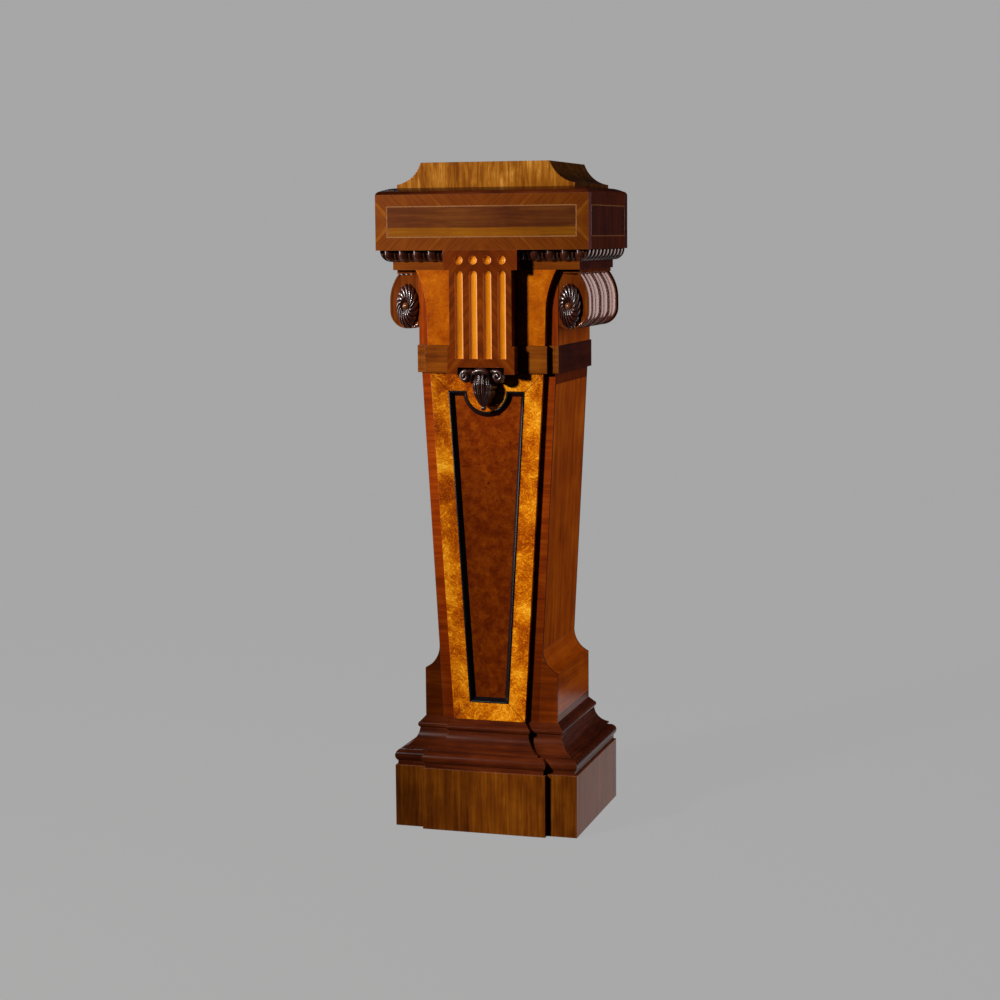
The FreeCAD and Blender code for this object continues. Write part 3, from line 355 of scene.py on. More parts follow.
def sided_wood(name, front_stops, front_along, side_stops, side_along="z", cross=None,
               strips=(), low=(), sheen=0.25, left=1.0):
    """One veneer on faces that look forward or back, and another elsewhere. Cross is the
    pair of heights of a crossband on the side. Strips are pairs of depths of a dark edging.
    Low paints shade on the front, a falloff of the light, as it does on a straight wood, and
    left paints shade on the left-hand side."""
    wood = Wood(name, sheen=sheen)
    front, streak = grain(wood, front_stops, front_along)
    front = painted_light_falloff(wood, front, low)
    side, _ = grain(wood, side_stops, side_along, 0.5)
    edging, _ = grain(wood, DEEP, "z")
    if cross:
        crossband, _ = grain(wood, FOOT, "z", 1.6)
        side = wood.mix(wood.within(wood.z, *cross), side, crossband)
    for strip in strips:
        side = wood.mix(wood.within(wood.y, *strip), side, edging)
    # Painted shade: the left-hand side is darkened by the factor left.
    side = wood.darker(wood.spread(wood.x, 0.0, -0.01), side, left)
    wood.bump(streak, GRAIN_DEPTH)
    return wood.finish(wood.lighten_edges_as_wear_and_highlight(wood.mix(wood.facing("y"), side, front)))


def burr_wood(name, stops, scale, speck=0.0, low=(), mitres=(), bold=1.0):
    """Mitres are dark joint lines, as two points each (x, z) on the right-hand side."""
    wood = Wood(name)
    shade, curl = burr(wood, stops, scale, speck, bold)
    # Painted shade: the low steps darken the burr where the light falls off.
    shade = painted_light_falloff(wood, shade, low)
    for (x, z), (end_x, end_z) in mitres:
        way = Vector((end_x - x, end_z - z)).normalized()
        across = wood.blend((wood.math("SUBTRACT", wood.math("ABSOLUTE", wood.x), x), way.y),
                            (wood.math("SUBTRACT", wood.z, z), -way.x))
        line = wood.math("MULTIPLY", wood.within(across, -0.0005, 0.0005),
                         wood.within(wood.z, min(z, end_z), max(z, end_z)))
        shade = wood.darker(wood.math("MULTIPLY", line, 0.8), shade, 0.10)
    wood.bump(curl, FIGURE_DEPTH)
    return wood.finish(shade)


def frieze_wood():
    """Feathered border, mirrored about the middle, round a dark panel with a light strip."""
    wood = Wood("frieze_walnut")
    middle = wood.math("SUBTRACT", wood.z, INLAY_MIDDLE)
    mirrored = wood.combine(wood.math("ABSOLUTE", wood.x), wood.y,
                            wood.math("ABSOLUTE", middle))
    feather, streak = grain(wood, FEATHER, "z", 1.7, wood.slanted(-45.0, mirrored))
    dark, _ = grain(wood, INLAY_DARK, "x", 1.3)
    light, _ = grain(wood, INLAY_LIGHT, "x", 1.3)
    side_border, _ = grain(wood, DARK, "z", 0.9)
    side_dark, _ = grain(wood, DEEP, "z")
    corner, _ = grain(wood, FRIEZE_EDGE_PAINTED_REFLECTION, "z")
    level = wood.within(wood.z, INLAY_LOW, INLAY_HIGH)
    wavy = wood.math("ADD", wood.z, wood.math("MULTIPLY", wood.math("SUBTRACT",
                     wood.noise(wood.place, 12.0, 1.0), 0.5), 0.003))
    panel = wood.mix(wood.within(wavy, STRIP_LOW, STRIP_HIGH, 0.0005), dark, light)
    across = wood.within(wood.x, -INLAY_HALF, INLAY_HALF)
    front = wood.mix(wood.math("MULTIPLY", level, across), feather, panel)
    # Painted shade: the frieze's front darkens towards its right-hand end, as the light falls
    # off.
    front = painted_light_falloff(wood, front, (("x", 0.0, FRIEZE_HALF, 0.70),))
    along = wood.within(wood.y, INLAY_FRONT, INLAY_BACK)
    side = wood.mix(wood.math("MULTIPLY", level, along), side_border, side_dark)
    # Painted reflection: a pinkish strip along the side's front edge.
    side = wood.mix(wood.within(wood.y, CORNER_FRONT, CORNER_BACK), side, corner)
    wood.bump(streak, FIGURE_DEPTH)
    return wood.finish(wood.lighten_edges_as_wear_and_highlight(wood.mix(wood.facing("y"), side, front)))


def cap_wood():
    """Striped fiddleback figure, with painted shade on the hollow ends and less of it on top, and
    matt on top.
    """
    wood = Wood("cap_fiddleback", sheen=0.12)
    where = wood.stretched((1.0, 0.30, 0.10))
    wave = wood.noise(where, 170.0, 3.0, 0.55, 1.0)
    broad = wood.noise(where, 45.0, 2.0, 0.5, 0.6)
    cloud = wood.noise(wood.place, 22.0, 3.0)
    level = wood.blend((wave, 0.50), (broad, 0.22), (cloud, 0.28))
    shade = wood.ramp(wood.spread(level, 0.38, 0.62), CAP)
    # Painted shade: the faces that don't look forward or back, the hollow ends, are darkened, and
    # the top less so.
    ends = wood.math("SUBTRACT", 1.0, wood.facing("y"))
    top = wood.math("MULTIPLY", wood.spread(wood.z, CAP_TOP_LOW, CAP_TOP_HIGH), 0.6)
    shade = wood.darker(wood.math("SUBTRACT", ends, top, True), shade, 0.26)
    wood.bump(wave, CAP_DEPTH)
    return wood.finish(wood.lighten_edges_as_wear_and_highlight(shade),
                       wood.blend((wood.facing("z", 0.90, 0.98), 0.62), (1.0, 0.15)))


def block_wood():
    """Slanting grain outside, mirrored about the middle, and golden wood in the flutes, paler
    near their lips as a painted highlight.
    """
    wood = Wood("block_walnut", sheen=0.15)
    mirrored = wood.combine(wood.math("ABSOLUTE", wood.x), wood.y, wood.z)
    slanted, streak = grain(wood, BLOCK, "z", 0.8, wood.slanted(40.0, mirrored), 1.1)
    inside, _ = grain(wood, FLUTE, "z", 0.6)
    place = wood.math("MODULO", wood.math("ADD", wood.x, FLUTE_START), FLUTE_PITCH)
    from_axis = wood.math("ABSOLUTE", wood.math("SUBTRACT", place, FLUTE_PITCH / 2))
    # Painted highlight: the flutes' walls turn paler towards their lips.
    lip = wood.math("MULTIPLY", wood.spread(from_axis, 0.0036, 0.0068), 0.75)
    inside = wood.mix(lip, inside, FLUTE_PAINTED_HIGHLIGHT)
    sunk = wood.spread(wood.y, BLOCK_FACE_OUT, BLOCK_FACE_IN)
    area = wood.math("MULTIPLY", wood.within(wood.x, -FLUTES_HALF, FLUTES_HALF),
                     wood.within(wood.z, FLUTES_LOW, FLUTES_HIGH))
    wood.bump(streak, FIGURE_DEPTH)
    return wood.finish(wood.lighten_edges_as_wear_and_highlight(wood.mix(wood.math("MULTIPLY", sunk, area), slanted, inside)))


def ebonised():
    """Black polished wood with a trace of its grain."""
    wood = Wood("ebonised", 0.22)
    streak = wood.noise(wood.stretched(ALONG["z"]), 240.0, 3.0)
    shade = wood.ramp(streak, EBONY)
    wood.bump(streak, EBONY_DEPTH)
    return wood.finish(shade)


def carved(name, stops, roughness, sheen):
    """Dark polished carving, with painted shade in its hollows."""
    wood = Wood(name, roughness, coat=0.25, coat_roughness=0.12, sheen=sheen)
    shade, streak = grain(wood, stops, "z")
    # Painted shade: hollows, found from the mesh's pointiness, are darkened.
    pointed = wood.add("ShaderNodeNewGeometry").outputs["Pointiness"]
    shade = wood.darker(wood.spread(pointed, 0.51, 0.44), shade, 0.25)
    wood.bump(streak, FIGURE_DEPTH)
    return wood.finish(shade)


def steel():
    """The wood screws."""
    metal = Wood("screw_steel", 0.35)
    metal.shader.inputs["Metallic"].default_value = 1.0
    speck = metal.noise(metal.place, 900.0, 2.0)
    return metal.finish(metal.ramp(speck, STEEL))


FLOOR_GLOW, FLOOR_TINT = 0.382, 0.025


def floor_paint():
    """Matt grey. Most of its brightness is its own, which keeps it even to the edges."""
    paint = Wood("floor_paint", 1.0, sheen=0.0)
    cloud = paint.noise(paint.place, 2.0, 2.0)
    paint.shader.inputs["Emission Color"].default_value = (1.0, 1.0, 1.0, 1.0)
    paint.shader.inputs["Emission Strength"].default_value = FLOOR_GLOW
    return paint.finish(paint.ramp(cloud, evenly((FLOOR_TINT,) * 3, (FLOOR_TINT * 1.03,) * 3)))


# The low steps and left factors below paint shade into the colours: the light's falloff towards
# the left and the bottom, and a darker left-hand side.
LOOKS = {
    "dark_mahogany": straight_wood("dark_mahogany", DARK, "x", 0.18, sheen=0.10,
                                   low=(("x", -0.02, -0.14, 0.40),)),
    "base_side": straight_wood("base_side_mahogany", DARK, "y", 0.22, sheen=0.15),
    "collar": sided_wood("collar_walnut", COLLAR, "x", DEEP, "y"),
    "abacus": sided_wood("abacus_mahogany", FEATHER, "x", DEEP, "y"),
    "console": straight_wood("console_walnut", CONSOLE, "z"),
    "reeds": straight_wood("reed_walnut", REED, "z", 0.24, contrast=0.7, depth=REED_DEPTH,
                           coat=0.85, coat_roughness=0.17, sheen=0.6),
    "shaft_side": sided_wood("shaft_side", BAND, "x", SIDE, cross=SHAFT_CROSSBAND,
                             strips=EDGE_STRIPS, low=(("z", 0.60, 0.25, 0.45),), left=0.5),
    "neck_side": sided_wood("neck_side", BAND, "z", SIDE, strips=EDGE_STRIPS, left=0.5),
    "foot_side": sided_wood("foot_side", FOOT, "x", SIDE, "y", cross=FOOT_CROSSBAND,
                            strips=EDGE_STRIPS, low=(("x", 0.05, -0.05, 0.33),), sheen=0.12,
                            left=0.5),
    "plinth": sided_wood("plinth_walnut", PLINTH, "z", PLINTH_SIDE_WITH_PAINTED_SHEEN,
                         low=(("x", 0.02, -0.18, 0.36),), sheen=0.10, left=0.6),
    "frame_burr": burr_wood("frame_burr", GOLD, 0.75, mitres=MITRES, bold=1.25,
                            low=(("x", 0.02, -0.09, 0.70),)),
    "neck_burr": burr_wood("neck_burr", NECK, 1.0, bold=0.9, low=(("x", 0.02, -0.03, 0.85),)),
    "panel_burr": burr_wood("panel_burr", PANEL, 2.6, 0.85, bold=0.95,
                            low=(("z", 0.75, 0.56, 0.62),)),
    "frieze": frieze_wood(),
    "cap": cap_wood(),
    "block": block_wood(),
    "ebonised": ebonised(),
    "carved": carved("dark_carving", CARVING, 0.31, 0.70),
    "rosette": carved("rosette_carving", PETAL, 0.26, 1.0),
    "boss": carved("boss_carving", BOSS, 0.28, 0.60),
    "eggs": carved("egg_carving", EGG, 0.24, 1.0),
    "string": straight_wood("string_boxwood", STRINGING, "x", lighten_edges_as_wear_and_highlight=False),
    "pine": straight_wood("carcass_pine", PINE, "z", 0.62, lighten_edges_as_wear_and_highlight=False),
    "frieze_back": sided_wood("frieze_back_pine", PINE, "x", DEEP),
    "plinth_back": sided_wood("plinth_back_pine", PINE, "x", PLINTH),
    "steel": steel(),
}

# Starts of the nodes' names. The longest start that fits a name gives its look.
NODE_LOOKS = {
    "plinth_": "plinth", "plinth_back": "plinth_back", "plinth_glue": "pine",
    "base_platform": "dark_mahogany", "base_moulding_": "dark_mahogany",
    "base_moulding_left": "base_side", "base_moulding_right": "base_side",
    "shaft_": "pine", "shaft_left": "shaft_side", "shaft_right": "shaft_side",
    "foot_": "foot_side", "frame_": "frame_burr", "burr_panel": "panel_burr",
    "ebony_": "ebonised", "collar_": "collar",
    "neck_": "pine", "neck_left": "neck_side", "neck_right": "neck_side",
    "neck_panel": "neck_burr", "console_": "console", "rosette_": "carved",
    "fluted_block": "block", "leaf_drop": "carved", "abacus_board": "abacus",
    "soffit_board": "pine", "egg_moulding_": "eggs", "frieze_": "frieze",
    "frieze_back": "frieze_back", "frieze_glue": "pine", "stringing": "string",
    "top_board": "dark_mahogany", "cap_block": "cap", "wood_screws": "steel",
}


ARRIS, EBONY_ARRIS = 0.0006, 0.0014
# Rounding its knife-edged mitres would push this one out past the end of the frieze.
SHARP = ("frieze_front",)
# Their flat faces have a ring let into them, so the triangles aren't merged.
RINGED = ("frieze_front", "frieze_left", "frieze_right", "stringing")


def dress(node):
    """Give a CAD node its look and slightly rounded arrises."""
    piece = NODES[node]
    key = max((start for start in NODE_LOOKS if node.startswith(start)), key=len)
    piece.data.materials.clear()
    piece.data.materials.append(LOOKS[NODE_LOOKS[key]])
    weld = piece.modifiers.new("weld", "WELD")
    weld.merge_threshold = 0.00001
    if node not in RINGED:
        flat = piece.modifiers.new("flat", "DECIMATE")
        flat.decimate_type = "DISSOLVE"
        flat.angle_limit = math.radians(0.5)
    if node in SHARP:
        return
    bevel = piece.modifiers.new("arris", "BEVEL")
    bevel.width = EBONY_ARRIS if node.startswith("ebony_") else ARRIS
    bevel.segments = 3
    bevel.limit_method = "ANGLE"
    bevel.angle_limit = math.radians(40.0)
    piece.modifiers.new("shading", "WEIGHTED_NORMAL")


for cad_node in NODES:
    dress(cad_node)


# ------------------------------------------------------------------ mesh helpers


def new_piece(name, vertices, faces, look, slot, *replaced):
    """A smooth mesh piece that rides on the stand and stands for CAD nodes."""
    mesh = bpy.data.meshes.new(name)
    mesh.from_pydata(vertices, [], faces)
    shape = bmesh.new()
    shape.from_mesh(mesh)
    bmesh.ops.remove_doubles(shape, verts=shape.verts, dist=0.00001)
    bmesh.ops.recalc_face_normals(shape, faces=shape.faces)
    shape.to_mesh(mesh)
    shape.free()
    for polygon in mesh.polygons:
        polygon.use_smooth = True
    mesh.materials.append(LOOKS[look])
    piece = bpy.data.objects.new(name, mesh)
    bpy.context.scene.collection.objects.link(piece)
    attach(piece, "root")
    if replaced:
        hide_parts(*replaced)
    return piece


def sheet_faces(rows, columns):
    """Quads of a grid whose vertices are listed row by row."""
    return [(row * columns + column, row * columns + column + 1,
             (row + 1) * columns + column + 1, (row + 1) * columns + column)
            for row in range(rows - 1) for column in range(columns - 1)]


def ring_faces(rings, steps):
    """Quads between closed rings of vertices listed one ring after another."""
    return [(ring * steps + step, ring * steps + (step + 1) % steps,
             (ring + 1) * steps + (step + 1) % steps, (ring + 1) * steps + step)
            for ring in range(rings - 1) for step in range(steps)]


def tube(name, path, radii, look, slot, depth):
    """A round bar along a path in an upright plane; depth stretches it to the front."""
    steps = 20
    vertices = []
    for index, (point, radius) in enumerate(zip(path, radii)):
        before, after = path[max(index - 1, 0)], path[min(index + 1, len(path) - 1)]
        way = (after - before).normalized()
        front = Vector((0.0, -1.0, 0.0))
        side = way.cross(front).normalized()
        for step in range(steps):
            angle = 2 * math.pi * step / steps
            vertices.append(point + front * radius * depth * math.cos(angle)
                            + side * radius * math.sin(angle))
    faces = ring_faces(len(path), steps)
    faces.append(tuple(range(steps)))
    faces.append(tuple((len(path) - 1) * steps + step for step in range(steps)))
    new_piece(name, [tuple(vertex) for vertex in vertices], faces, look, slot)


def eased(points, place):
    """Height at a place, straight from one (place, height) point to the next."""
    for (low, before), (high, after) in zip(points, points[1:]):
        if place <= high:
            share = max(0.0, (place - low) / (high - low))
            return before + (after - before) * share
    return points[-1][1]


# ------------------------------------------------------------------ egg and dart

EGG_PITCH = 0.0270
EGG_LOW, EGG_HIGH = 1.0255, 1.0460
EGG_FOOT, EGG_REACH = 0.0020, 0.0180
EGG_ROWS = 20
EGG_STEP = 0.0006
EGG_DEPTH = 0.0085


def egg_relief(along, up):
    """Depth below the moulding's outer surface. Along is metres from an egg's middle line
    and up runs from 0 at the foot to 1 at the lip."""
    half = EGG_PITCH / 2
    across = abs((along + half) % EGG_PITCH - half) / half
    width = 0.56 * math.sqrt(max(0.0, 1.0 - ((0.75 - min(up, 0.75)) / 0.68) ** 2))
    if across < width:
        return EGG_DEPTH * 0.9 * (1.0 - math.sqrt(1.0 - 0.97 * (across / width) ** 2))
    dart = max(0.0, 1.0 - (1.0 - across) / (0.06 + 0.04 * up))
    return EGG_DEPTH * (1.0 - 0.60 * dart)


def egg_length(name, node, centre, along, outward, face, low_end, high_end):
    """One length of carved moulding. The ends are (position, mitred) along the length; a
    mitred end runs out as the moulding does."""
    count = int(round((high_end[0] - low_end[0] + 2 * EGG_REACH) / EGG_STEP))
    vertices = []
    for row in range(EGG_ROWS):
        share = row / (EGG_ROWS - 1)
        angle = math.pi / 2 * share
        reach = EGG_FOOT + (EGG_REACH - EGG_FOOT) * math.sin(angle)
        height = EGG_LOW + (EGG_HIGH - EGG_LOW) * (1.0 - math.cos(angle))
        for column in range(count + 1):
            place = low_end[0] - EGG_REACH + column * EGG_STEP
            depth = egg_relief(place - centre, share)
            out = max(0.0004, reach - depth * (0.4 + 0.6 * math.sin(angle)))
            low = low_end[0] - (out if low_end[1] else 0.0)
            high = high_end[0] + (out if high_end[1] else 0.0)
            point = Vector(along) * min(max(place, low), high) + Vector(outward) * (face + out)
            vertices.append((point.x, point.y, height))
    for height in (EGG_HIGH, EGG_LOW):
        for column in range(count + 1):
            place = low_end[0] - EGG_REACH + column * EGG_STEP
            place = min(max(place, low_end[0]), high_end[0])
            point = Vector(along) * place + Vector(outward) * face
            vertices.append((point.x, point.y, height))
    faces = sheet_faces(EGG_ROWS + 2, count + 1)
    bottom = (EGG_ROWS + 1) * (count + 1)
    faces += [(bottom + column, bottom + column + 1, column + 1, column)
              for column in range(count)]
    new_piece(name, vertices, faces, "eggs", "dark_carving", node)


ABACUS_HALF, ABACUS_FRONT, ABACUS_BACK, HEAD_HALF = 0.172, 0.116, 0.131, 0.0677
FRONT_EGG = 0.1225
RIGHT_WAY, BACK_WAY = (1.0, 0.0, 0.0), (0.0, 1.0, 0.0)
egg_length("egg_and_dart_front_left", "egg_moulding_front_left", -FRONT_EGG, RIGHT_WAY,
           (0.0, -1.0, 0.0), ABACUS_FRONT, (-ABACUS_HALF, True), (-HEAD_HALF, False))
egg_length("egg_and_dart_front_right", "egg_moulding_front_right", FRONT_EGG, RIGHT_WAY,
           (0.0, -1.0, 0.0), ABACUS_FRONT, (HEAD_HALF, False), (ABACUS_HALF, True))
egg_length("egg_and_dart_back", "egg_moulding_back", 0.0, RIGHT_WAY, (0.0, 1.0, 0.0),
           ABACUS_BACK, (-ABACUS_HALF, True), (ABACUS_HALF, True))
for side_name, side_sign in SIDES:
    egg_length(f"egg_and_dart_{side_name}", f"egg_moulding_{side_name}", 0.0, BACK_WAY,
               (side_sign, 0.0, 0.0), ABACUS_HALF, (-ABACUS_FRONT, True), (ABACUS_BACK, True))


# ------------------------------------------------------------------ consoles

CONSOLE_FRONT, CONSOLE_BACK = -0.102, 0.1245
CONSOLE_LOW, CONSOLE_TOP, CONSOLE_REACH = 0.906, 1.004, 0.184
NECK_HALF, ROOT_HEIGHT, HOLLOW_WIDTH = 0.129, 0.913, 0.017
CORNER_RADIUS, LEAN_HEIGHT, LEAN_RADIUS = 0.032, 0.955, 0.080
FILLET_REACH, FILLET_TOP, FILLET_ARRIS = 0.1695, 1.011, 0.001
RIM = 0.0095
# The front rim's edge is rounded by chamfers: (depth, how far inside the outline).
RIM_STEPS = ((0.0004, 0.0006), (0.0, 0.0022), (0.0, 0.0040), (0.0010, 0.0046))
# Depths, from the console's front, at which one reed ends and the next begins.
REED_ENDS = (RIM, 0.0390, 0.0625, 0.1015, 0.1250, 0.1640, 0.1875, 0.2265)


def console_path():
    """Front view of the right-hand console's reeded side, from its root underneath to the
    small fillet at its top: points and outward directions."""
    points = []
    for step in range(5):
        share = step / 4
        drop = (ROOT_HEIGHT - CONSOLE_LOW) * math.sin(math.pi / 2 * share)
        points.append((NECK_HALF + HOLLOW_WIDTH * share, ROOT_HEIGHT - drop))
    corner_x, corner_z = CONSOLE_REACH - CORNER_RADIUS, CONSOLE_LOW + CORNER_RADIUS
    points.append((corner_x - 0.003, CONSOLE_LOW))
    for step in range(13):
        angle = math.radians(-90.0 + 90.0 * step / 12)
        points.append((corner_x + CORNER_RADIUS * math.cos(angle),
                       corner_z + CORNER_RADIUS * math.sin(angle)))
    points.append((CONSOLE_REACH, corner_z + 0.009))
    centre_x = CONSOLE_REACH - LEAN_RADIUS
    last = math.asin((CONSOLE_TOP - LEAN_HEIGHT) / LEAN_RADIUS)
    for step in range(1, 14):
        angle = last * step / 13
        points.append((centre_x + LEAN_RADIUS * math.cos(angle),
                       LEAN_HEIGHT + LEAN_RADIUS * math.sin(angle)))
    directions = []
    for index in range(len(points)):
        before = points[max(index - 1, 0)]
        after = points[min(index + 1, len(points) - 1)]
        way = Vector((after[0] - before[0], after[1] - before[1])).normalized()
        directions.append((way.y, -way.x))
    return points, directions


def reed_fall(place):
    """How far the surface lies below the outline at a depth measured from the front."""
    if place < RIM:
        return 0.0006 + 0.0034 * max(0.0, (place - 0.8 * RIM) / (0.2 * RIM))
    for low, high in zip(REED_ENDS, REED_ENDS[1:]):
        if place <= high + 1e-9:
            across = abs((place - low) / (high - low) * 2.0 - 1.0)
            wide = high - low > 0.027
            return 0.0002 + (0.0046 if wide else 0.0040) * across ** 2 + 0.0030 * across ** 9
    return 0.0


def console(side_name, side_sign):
    """The reeded drum, its plain front and back faces, and the small fillet over it."""
    points, directions = console_path()
    columns = 300
    depth = CONSOLE_BACK - CONSOLE_FRONT
    vertices = []
    for (across, up), (out_x, out_z) in zip(points, directions):
        for column in range(columns + 1):
            place = depth * column / columns
            low = reed_fall(place)
            vertices.append((side_sign * max(NECK_HALF, across - out_x * low),
                             CONSOLE_FRONT + place, up - out_z * low))
    new_piece(f"reeds_{side_name}", vertices, sheet_faces(len(points), columns + 1),
              "reeds", "walnut")
    ring = len(points)
    plates = []
    for place, inset in RIM_STEPS:
        for (across, up), (out_x, out_z) in zip(points, directions):
            plates.append((side_sign * max(NECK_HALF, across - out_x * inset),
                           CONSOLE_FRONT + place, up - out_z * inset))
    faces = sheet_faces(len(RIM_STEPS), ring)
    inner, outer = len(plates) - ring, len(plates)
    plates += [(side_sign * across, CONSOLE_BACK, up) for across, up in points]
    for y, start in ((plates[inner][1], inner), (CONSOLE_BACK, outer)):
        root = len(plates)
        plates += [(side_sign * NECK_HALF, y, up) for up in (points[0][1], CONSOLE_TOP)]
        faces.append(tuple(range(start, start + ring)) + (root + 1, root))
    face = new_piece(f"console_face_{side_name}", plates, faces, "console", "walnut",
                     f"console_{side_name}")
    for polygon in face.data.polygons:
        polygon.use_smooth = len(polygon.vertices) == 4
    bar = [(side_sign * x, y, z) for x in (NECK_HALF, FILLET_REACH)
           for y in (CONSOLE_FRONT, CONSOLE_BACK) for z in (CONSOLE_TOP, FILLET_TOP)]
    quads = [(0, 1, 3, 2), (4, 6, 7, 5), (0, 4, 5, 1), (2, 3, 7, 6), (0, 2, 6, 4), (1, 5, 7, 3)]
    fillet = new_piece(f"console_fillet_{side_name}", bar, quads, "console", "walnut")
    rounding = fillet.modifiers.new("arris", "BEVEL")
    rounding.width = FILLET_ARRIS
    rounding.segments = 3
    for polygon in fillet.data.polygons:
        polygon.use_smooth = False


for side_name, side_sign in SIDES:
    console(side_name, side_sign)


# ------------------------------------------------------------------ rosettes

BLADES = 16
ROSETTE_X, ROSETTE_Z = 0.1505, 0.947


def rosette(side_name, side_sign):
    """Oval of swirling blades round a boss: rings of points between a circle and an oval.
    Each blade leans, so that one edge overlaps the next blade."""
    half_x, half_z, rise, eye = 0.0209, 0.0404, 0.0138, 0.0062
    rings, steps = 44, 480
    vertices = []
    for ring in range(rings + 1):
        share = ring / rings
        for step in range(steps):
            angle = 2 * math.pi * step / steps
            phase = (angle - 0.75 * share ** 1.2) * BLADES / (2 * math.pi) % 1.0
            across = abs(2.0 * phase - 1.0)
            tip = 1.0 - 0.13 * across ** 3 * share ** 3
            reach_x = (eye * (1.0 - share) + half_x * share) * tip
            reach_z = (eye * (1.0 - share) + half_z * share) * tip
            dome = math.sqrt(1.0 - 0.96 * share ** 3) * (0.78 + 0.22 * min(1.0, share / 0.28))
            fall = 0.0012 * (1.0 - phase) + 0.0017 * across ** 2 + 0.0045 * across ** 8
            height = max(0.0003, rise * 0.92 * dome - fall * (0.45 + 0.55 * share))
            if ring == rings:
                height = 0.0
            vertices.append((side_sign * ROSETTE_X + reach_x * math.cos(angle),
                             CONSOLE_FRONT - height, ROSETTE_Z + reach_z * math.sin(angle)))
    new_piece(f"carved_rosette_{side_name}", vertices, ring_faces(rings + 1, steps), "rosette",
              "dark_carving", f"rosette_{side_name}")
    boss = []
    boss_rings, boss_steps = 12, 40
    for ring in range(boss_rings + 1):
        lean = math.pi / 2 * ring / boss_rings
        reach = eye * 1.05 * math.sin(lean)
        y = CONSOLE_FRONT - rise * 0.56 - 0.0060 * math.cos(lean)
        for step in range(boss_steps):
            angle = 2 * math.pi * step / boss_steps
            boss.append((side_sign * ROSETTE_X + reach * math.cos(angle), y,
                         ROSETTE_Z + reach * math.sin(angle)))
    new_piece(f"rosette_boss_{side_name}", boss, ring_faces(boss_rings + 1, boss_steps),
              "boss", "dark_carving")


for side_name, side_sign in SIDES:
    rosette(side_name, side_sign)


# ------------------------------------------------------------------ leaf drop

LEAF_LOW, LEAF_HIGH = 0.7690, 0.8395
# Shares of the leaf's height from its tip, with half its width and how far it stands out.
LEAF_HALF = ((0.0, 0.0020), (0.05, 0.0088), (0.12, 0.0140), (0.22, 0.0180), (0.34, 0.0222),
             (0.50, 0.0236), (0.62, 0.0222), (0.74, 0.0185), (1.0, 0.0165))
LEAF_FRONT = ((0.0, 0.1340), (0.15, 0.1400), (0.35, 0.1465), (0.60, 0.1500), (0.80, 0.1475),
              (1.0, 0.1430))
# Each leaflet's middle line and half width, as shares of the leaf's half width, and its top.
LEAFLETS = ((0.20, 0.20, 0.93), (0.64, 0.26, 0.76))
TEETH = 3.4
# What the leaf lies on steps forward at a height, and the leaf stays behind a limit.
LEAF_STEP, LEAF_BACK_BELOW, LEAF_BACK_ABOVE, LEAF_LIMIT = 0.8283, 0.1142, 0.1192, 0.1538


def leaf_tooth(up):
    """0 in the notches between the outer leaflets' teeth, and 1 on the teeth."""
    return abs(math.sin(math.pi * TEETH * up / LEAFLETS[1][2] + 0.4))


def leaf_rib(across, up):
    """Height of the leaflets, which fan out as they rise, end in rounded tops and carry a
    vein each. The outer ones are toothed."""
    best = 0.0
    for middle, wide, top in LEAFLETS:
        fan = middle * (0.72 + 0.28 * min(1.0, up / top))
        offset = (abs(across) - fan) / wide
        if abs(offset) >= 1.0:
            continue
        body = math.sqrt(1.0 - offset * offset) - 0.30 * math.exp(-(offset / 0.16) ** 2)
        ending = min(1.0, max(0.0, (top - up) / 0.12)) ** 0.5
        if middle > 0.5:
            body *= 0.82 + 0.18 * leaf_tooth(up)
        best = max(best, body * ending)
    return best


def leaf():
    """The leaf itself: a domed sheet with its ribs, closed at the sides and back."""
    rows, columns = 110, 120
    vertices = []
    for row in range(rows + 1):
        up = row / rows
        z = LEAF_LOW + (LEAF_HIGH - LEAF_LOW) * up
        half, front = eased(LEAF_HALF, up), eased(LEAF_FRONT, up)
        base = LEAF_BACK_BELOW if z < LEAF_STEP else LEAF_BACK_ABOVE
        notch = 0.13 * (1.0 - leaf_tooth(up)) * (up < LEAFLETS[1][2])
        for column in range(columns + 1):
            across = column / columns * 2.0 - 1.0
            x = across * half * (1.0 - notch * max(0.0, (abs(across) - 0.6) / 0.4))
            dome = math.sqrt(max(0.0, 1.0 - 0.985 * abs(across) ** 2.8))
            out = base + (front - base) * (0.25 + 0.75 * dome)
            out += 0.0060 * (leaf_rib(across, up) - 0.70) * min(1.0, 0.40 + up * 2.0)
            out = base if column in (0, columns) else min(max(out, base), LEAF_LIMIT)
            vertices.append((x, -out, z))
    faces = sheet_faces(rows + 1, columns + 1)
    faces.append(tuple(rows * (columns + 1) + column for column in range(columns + 1)))
    faces.append(tuple(range(columns + 1)))
    faces += [(row * (columns + 1), (row + 1) * (columns + 1),
               (row + 1) * (columns + 1) + columns, row * (columns + 1) + columns)
              for row in range(rows)]
    new_piece("carved_leaf", vertices, faces, "carved", "dark_carving", "leaf_drop")


def leaf_curl():
    """The leaf's own top, which rolls forward between the scrolls."""
    path, radii = [], []
    for step in range(25):
        share = step / 24 * 2.0 - 1.0
        path.append(Vector((0.0160 * share, -0.1474, 0.8350 - 0.0065 * share * share)))
        radii.append(0.0001 + 0.0053 * math.sqrt(max(0.0, 1.0 - share ** 4)))
    tube("carved_curl", path, radii, "carved", "dark_carving", 1.2)


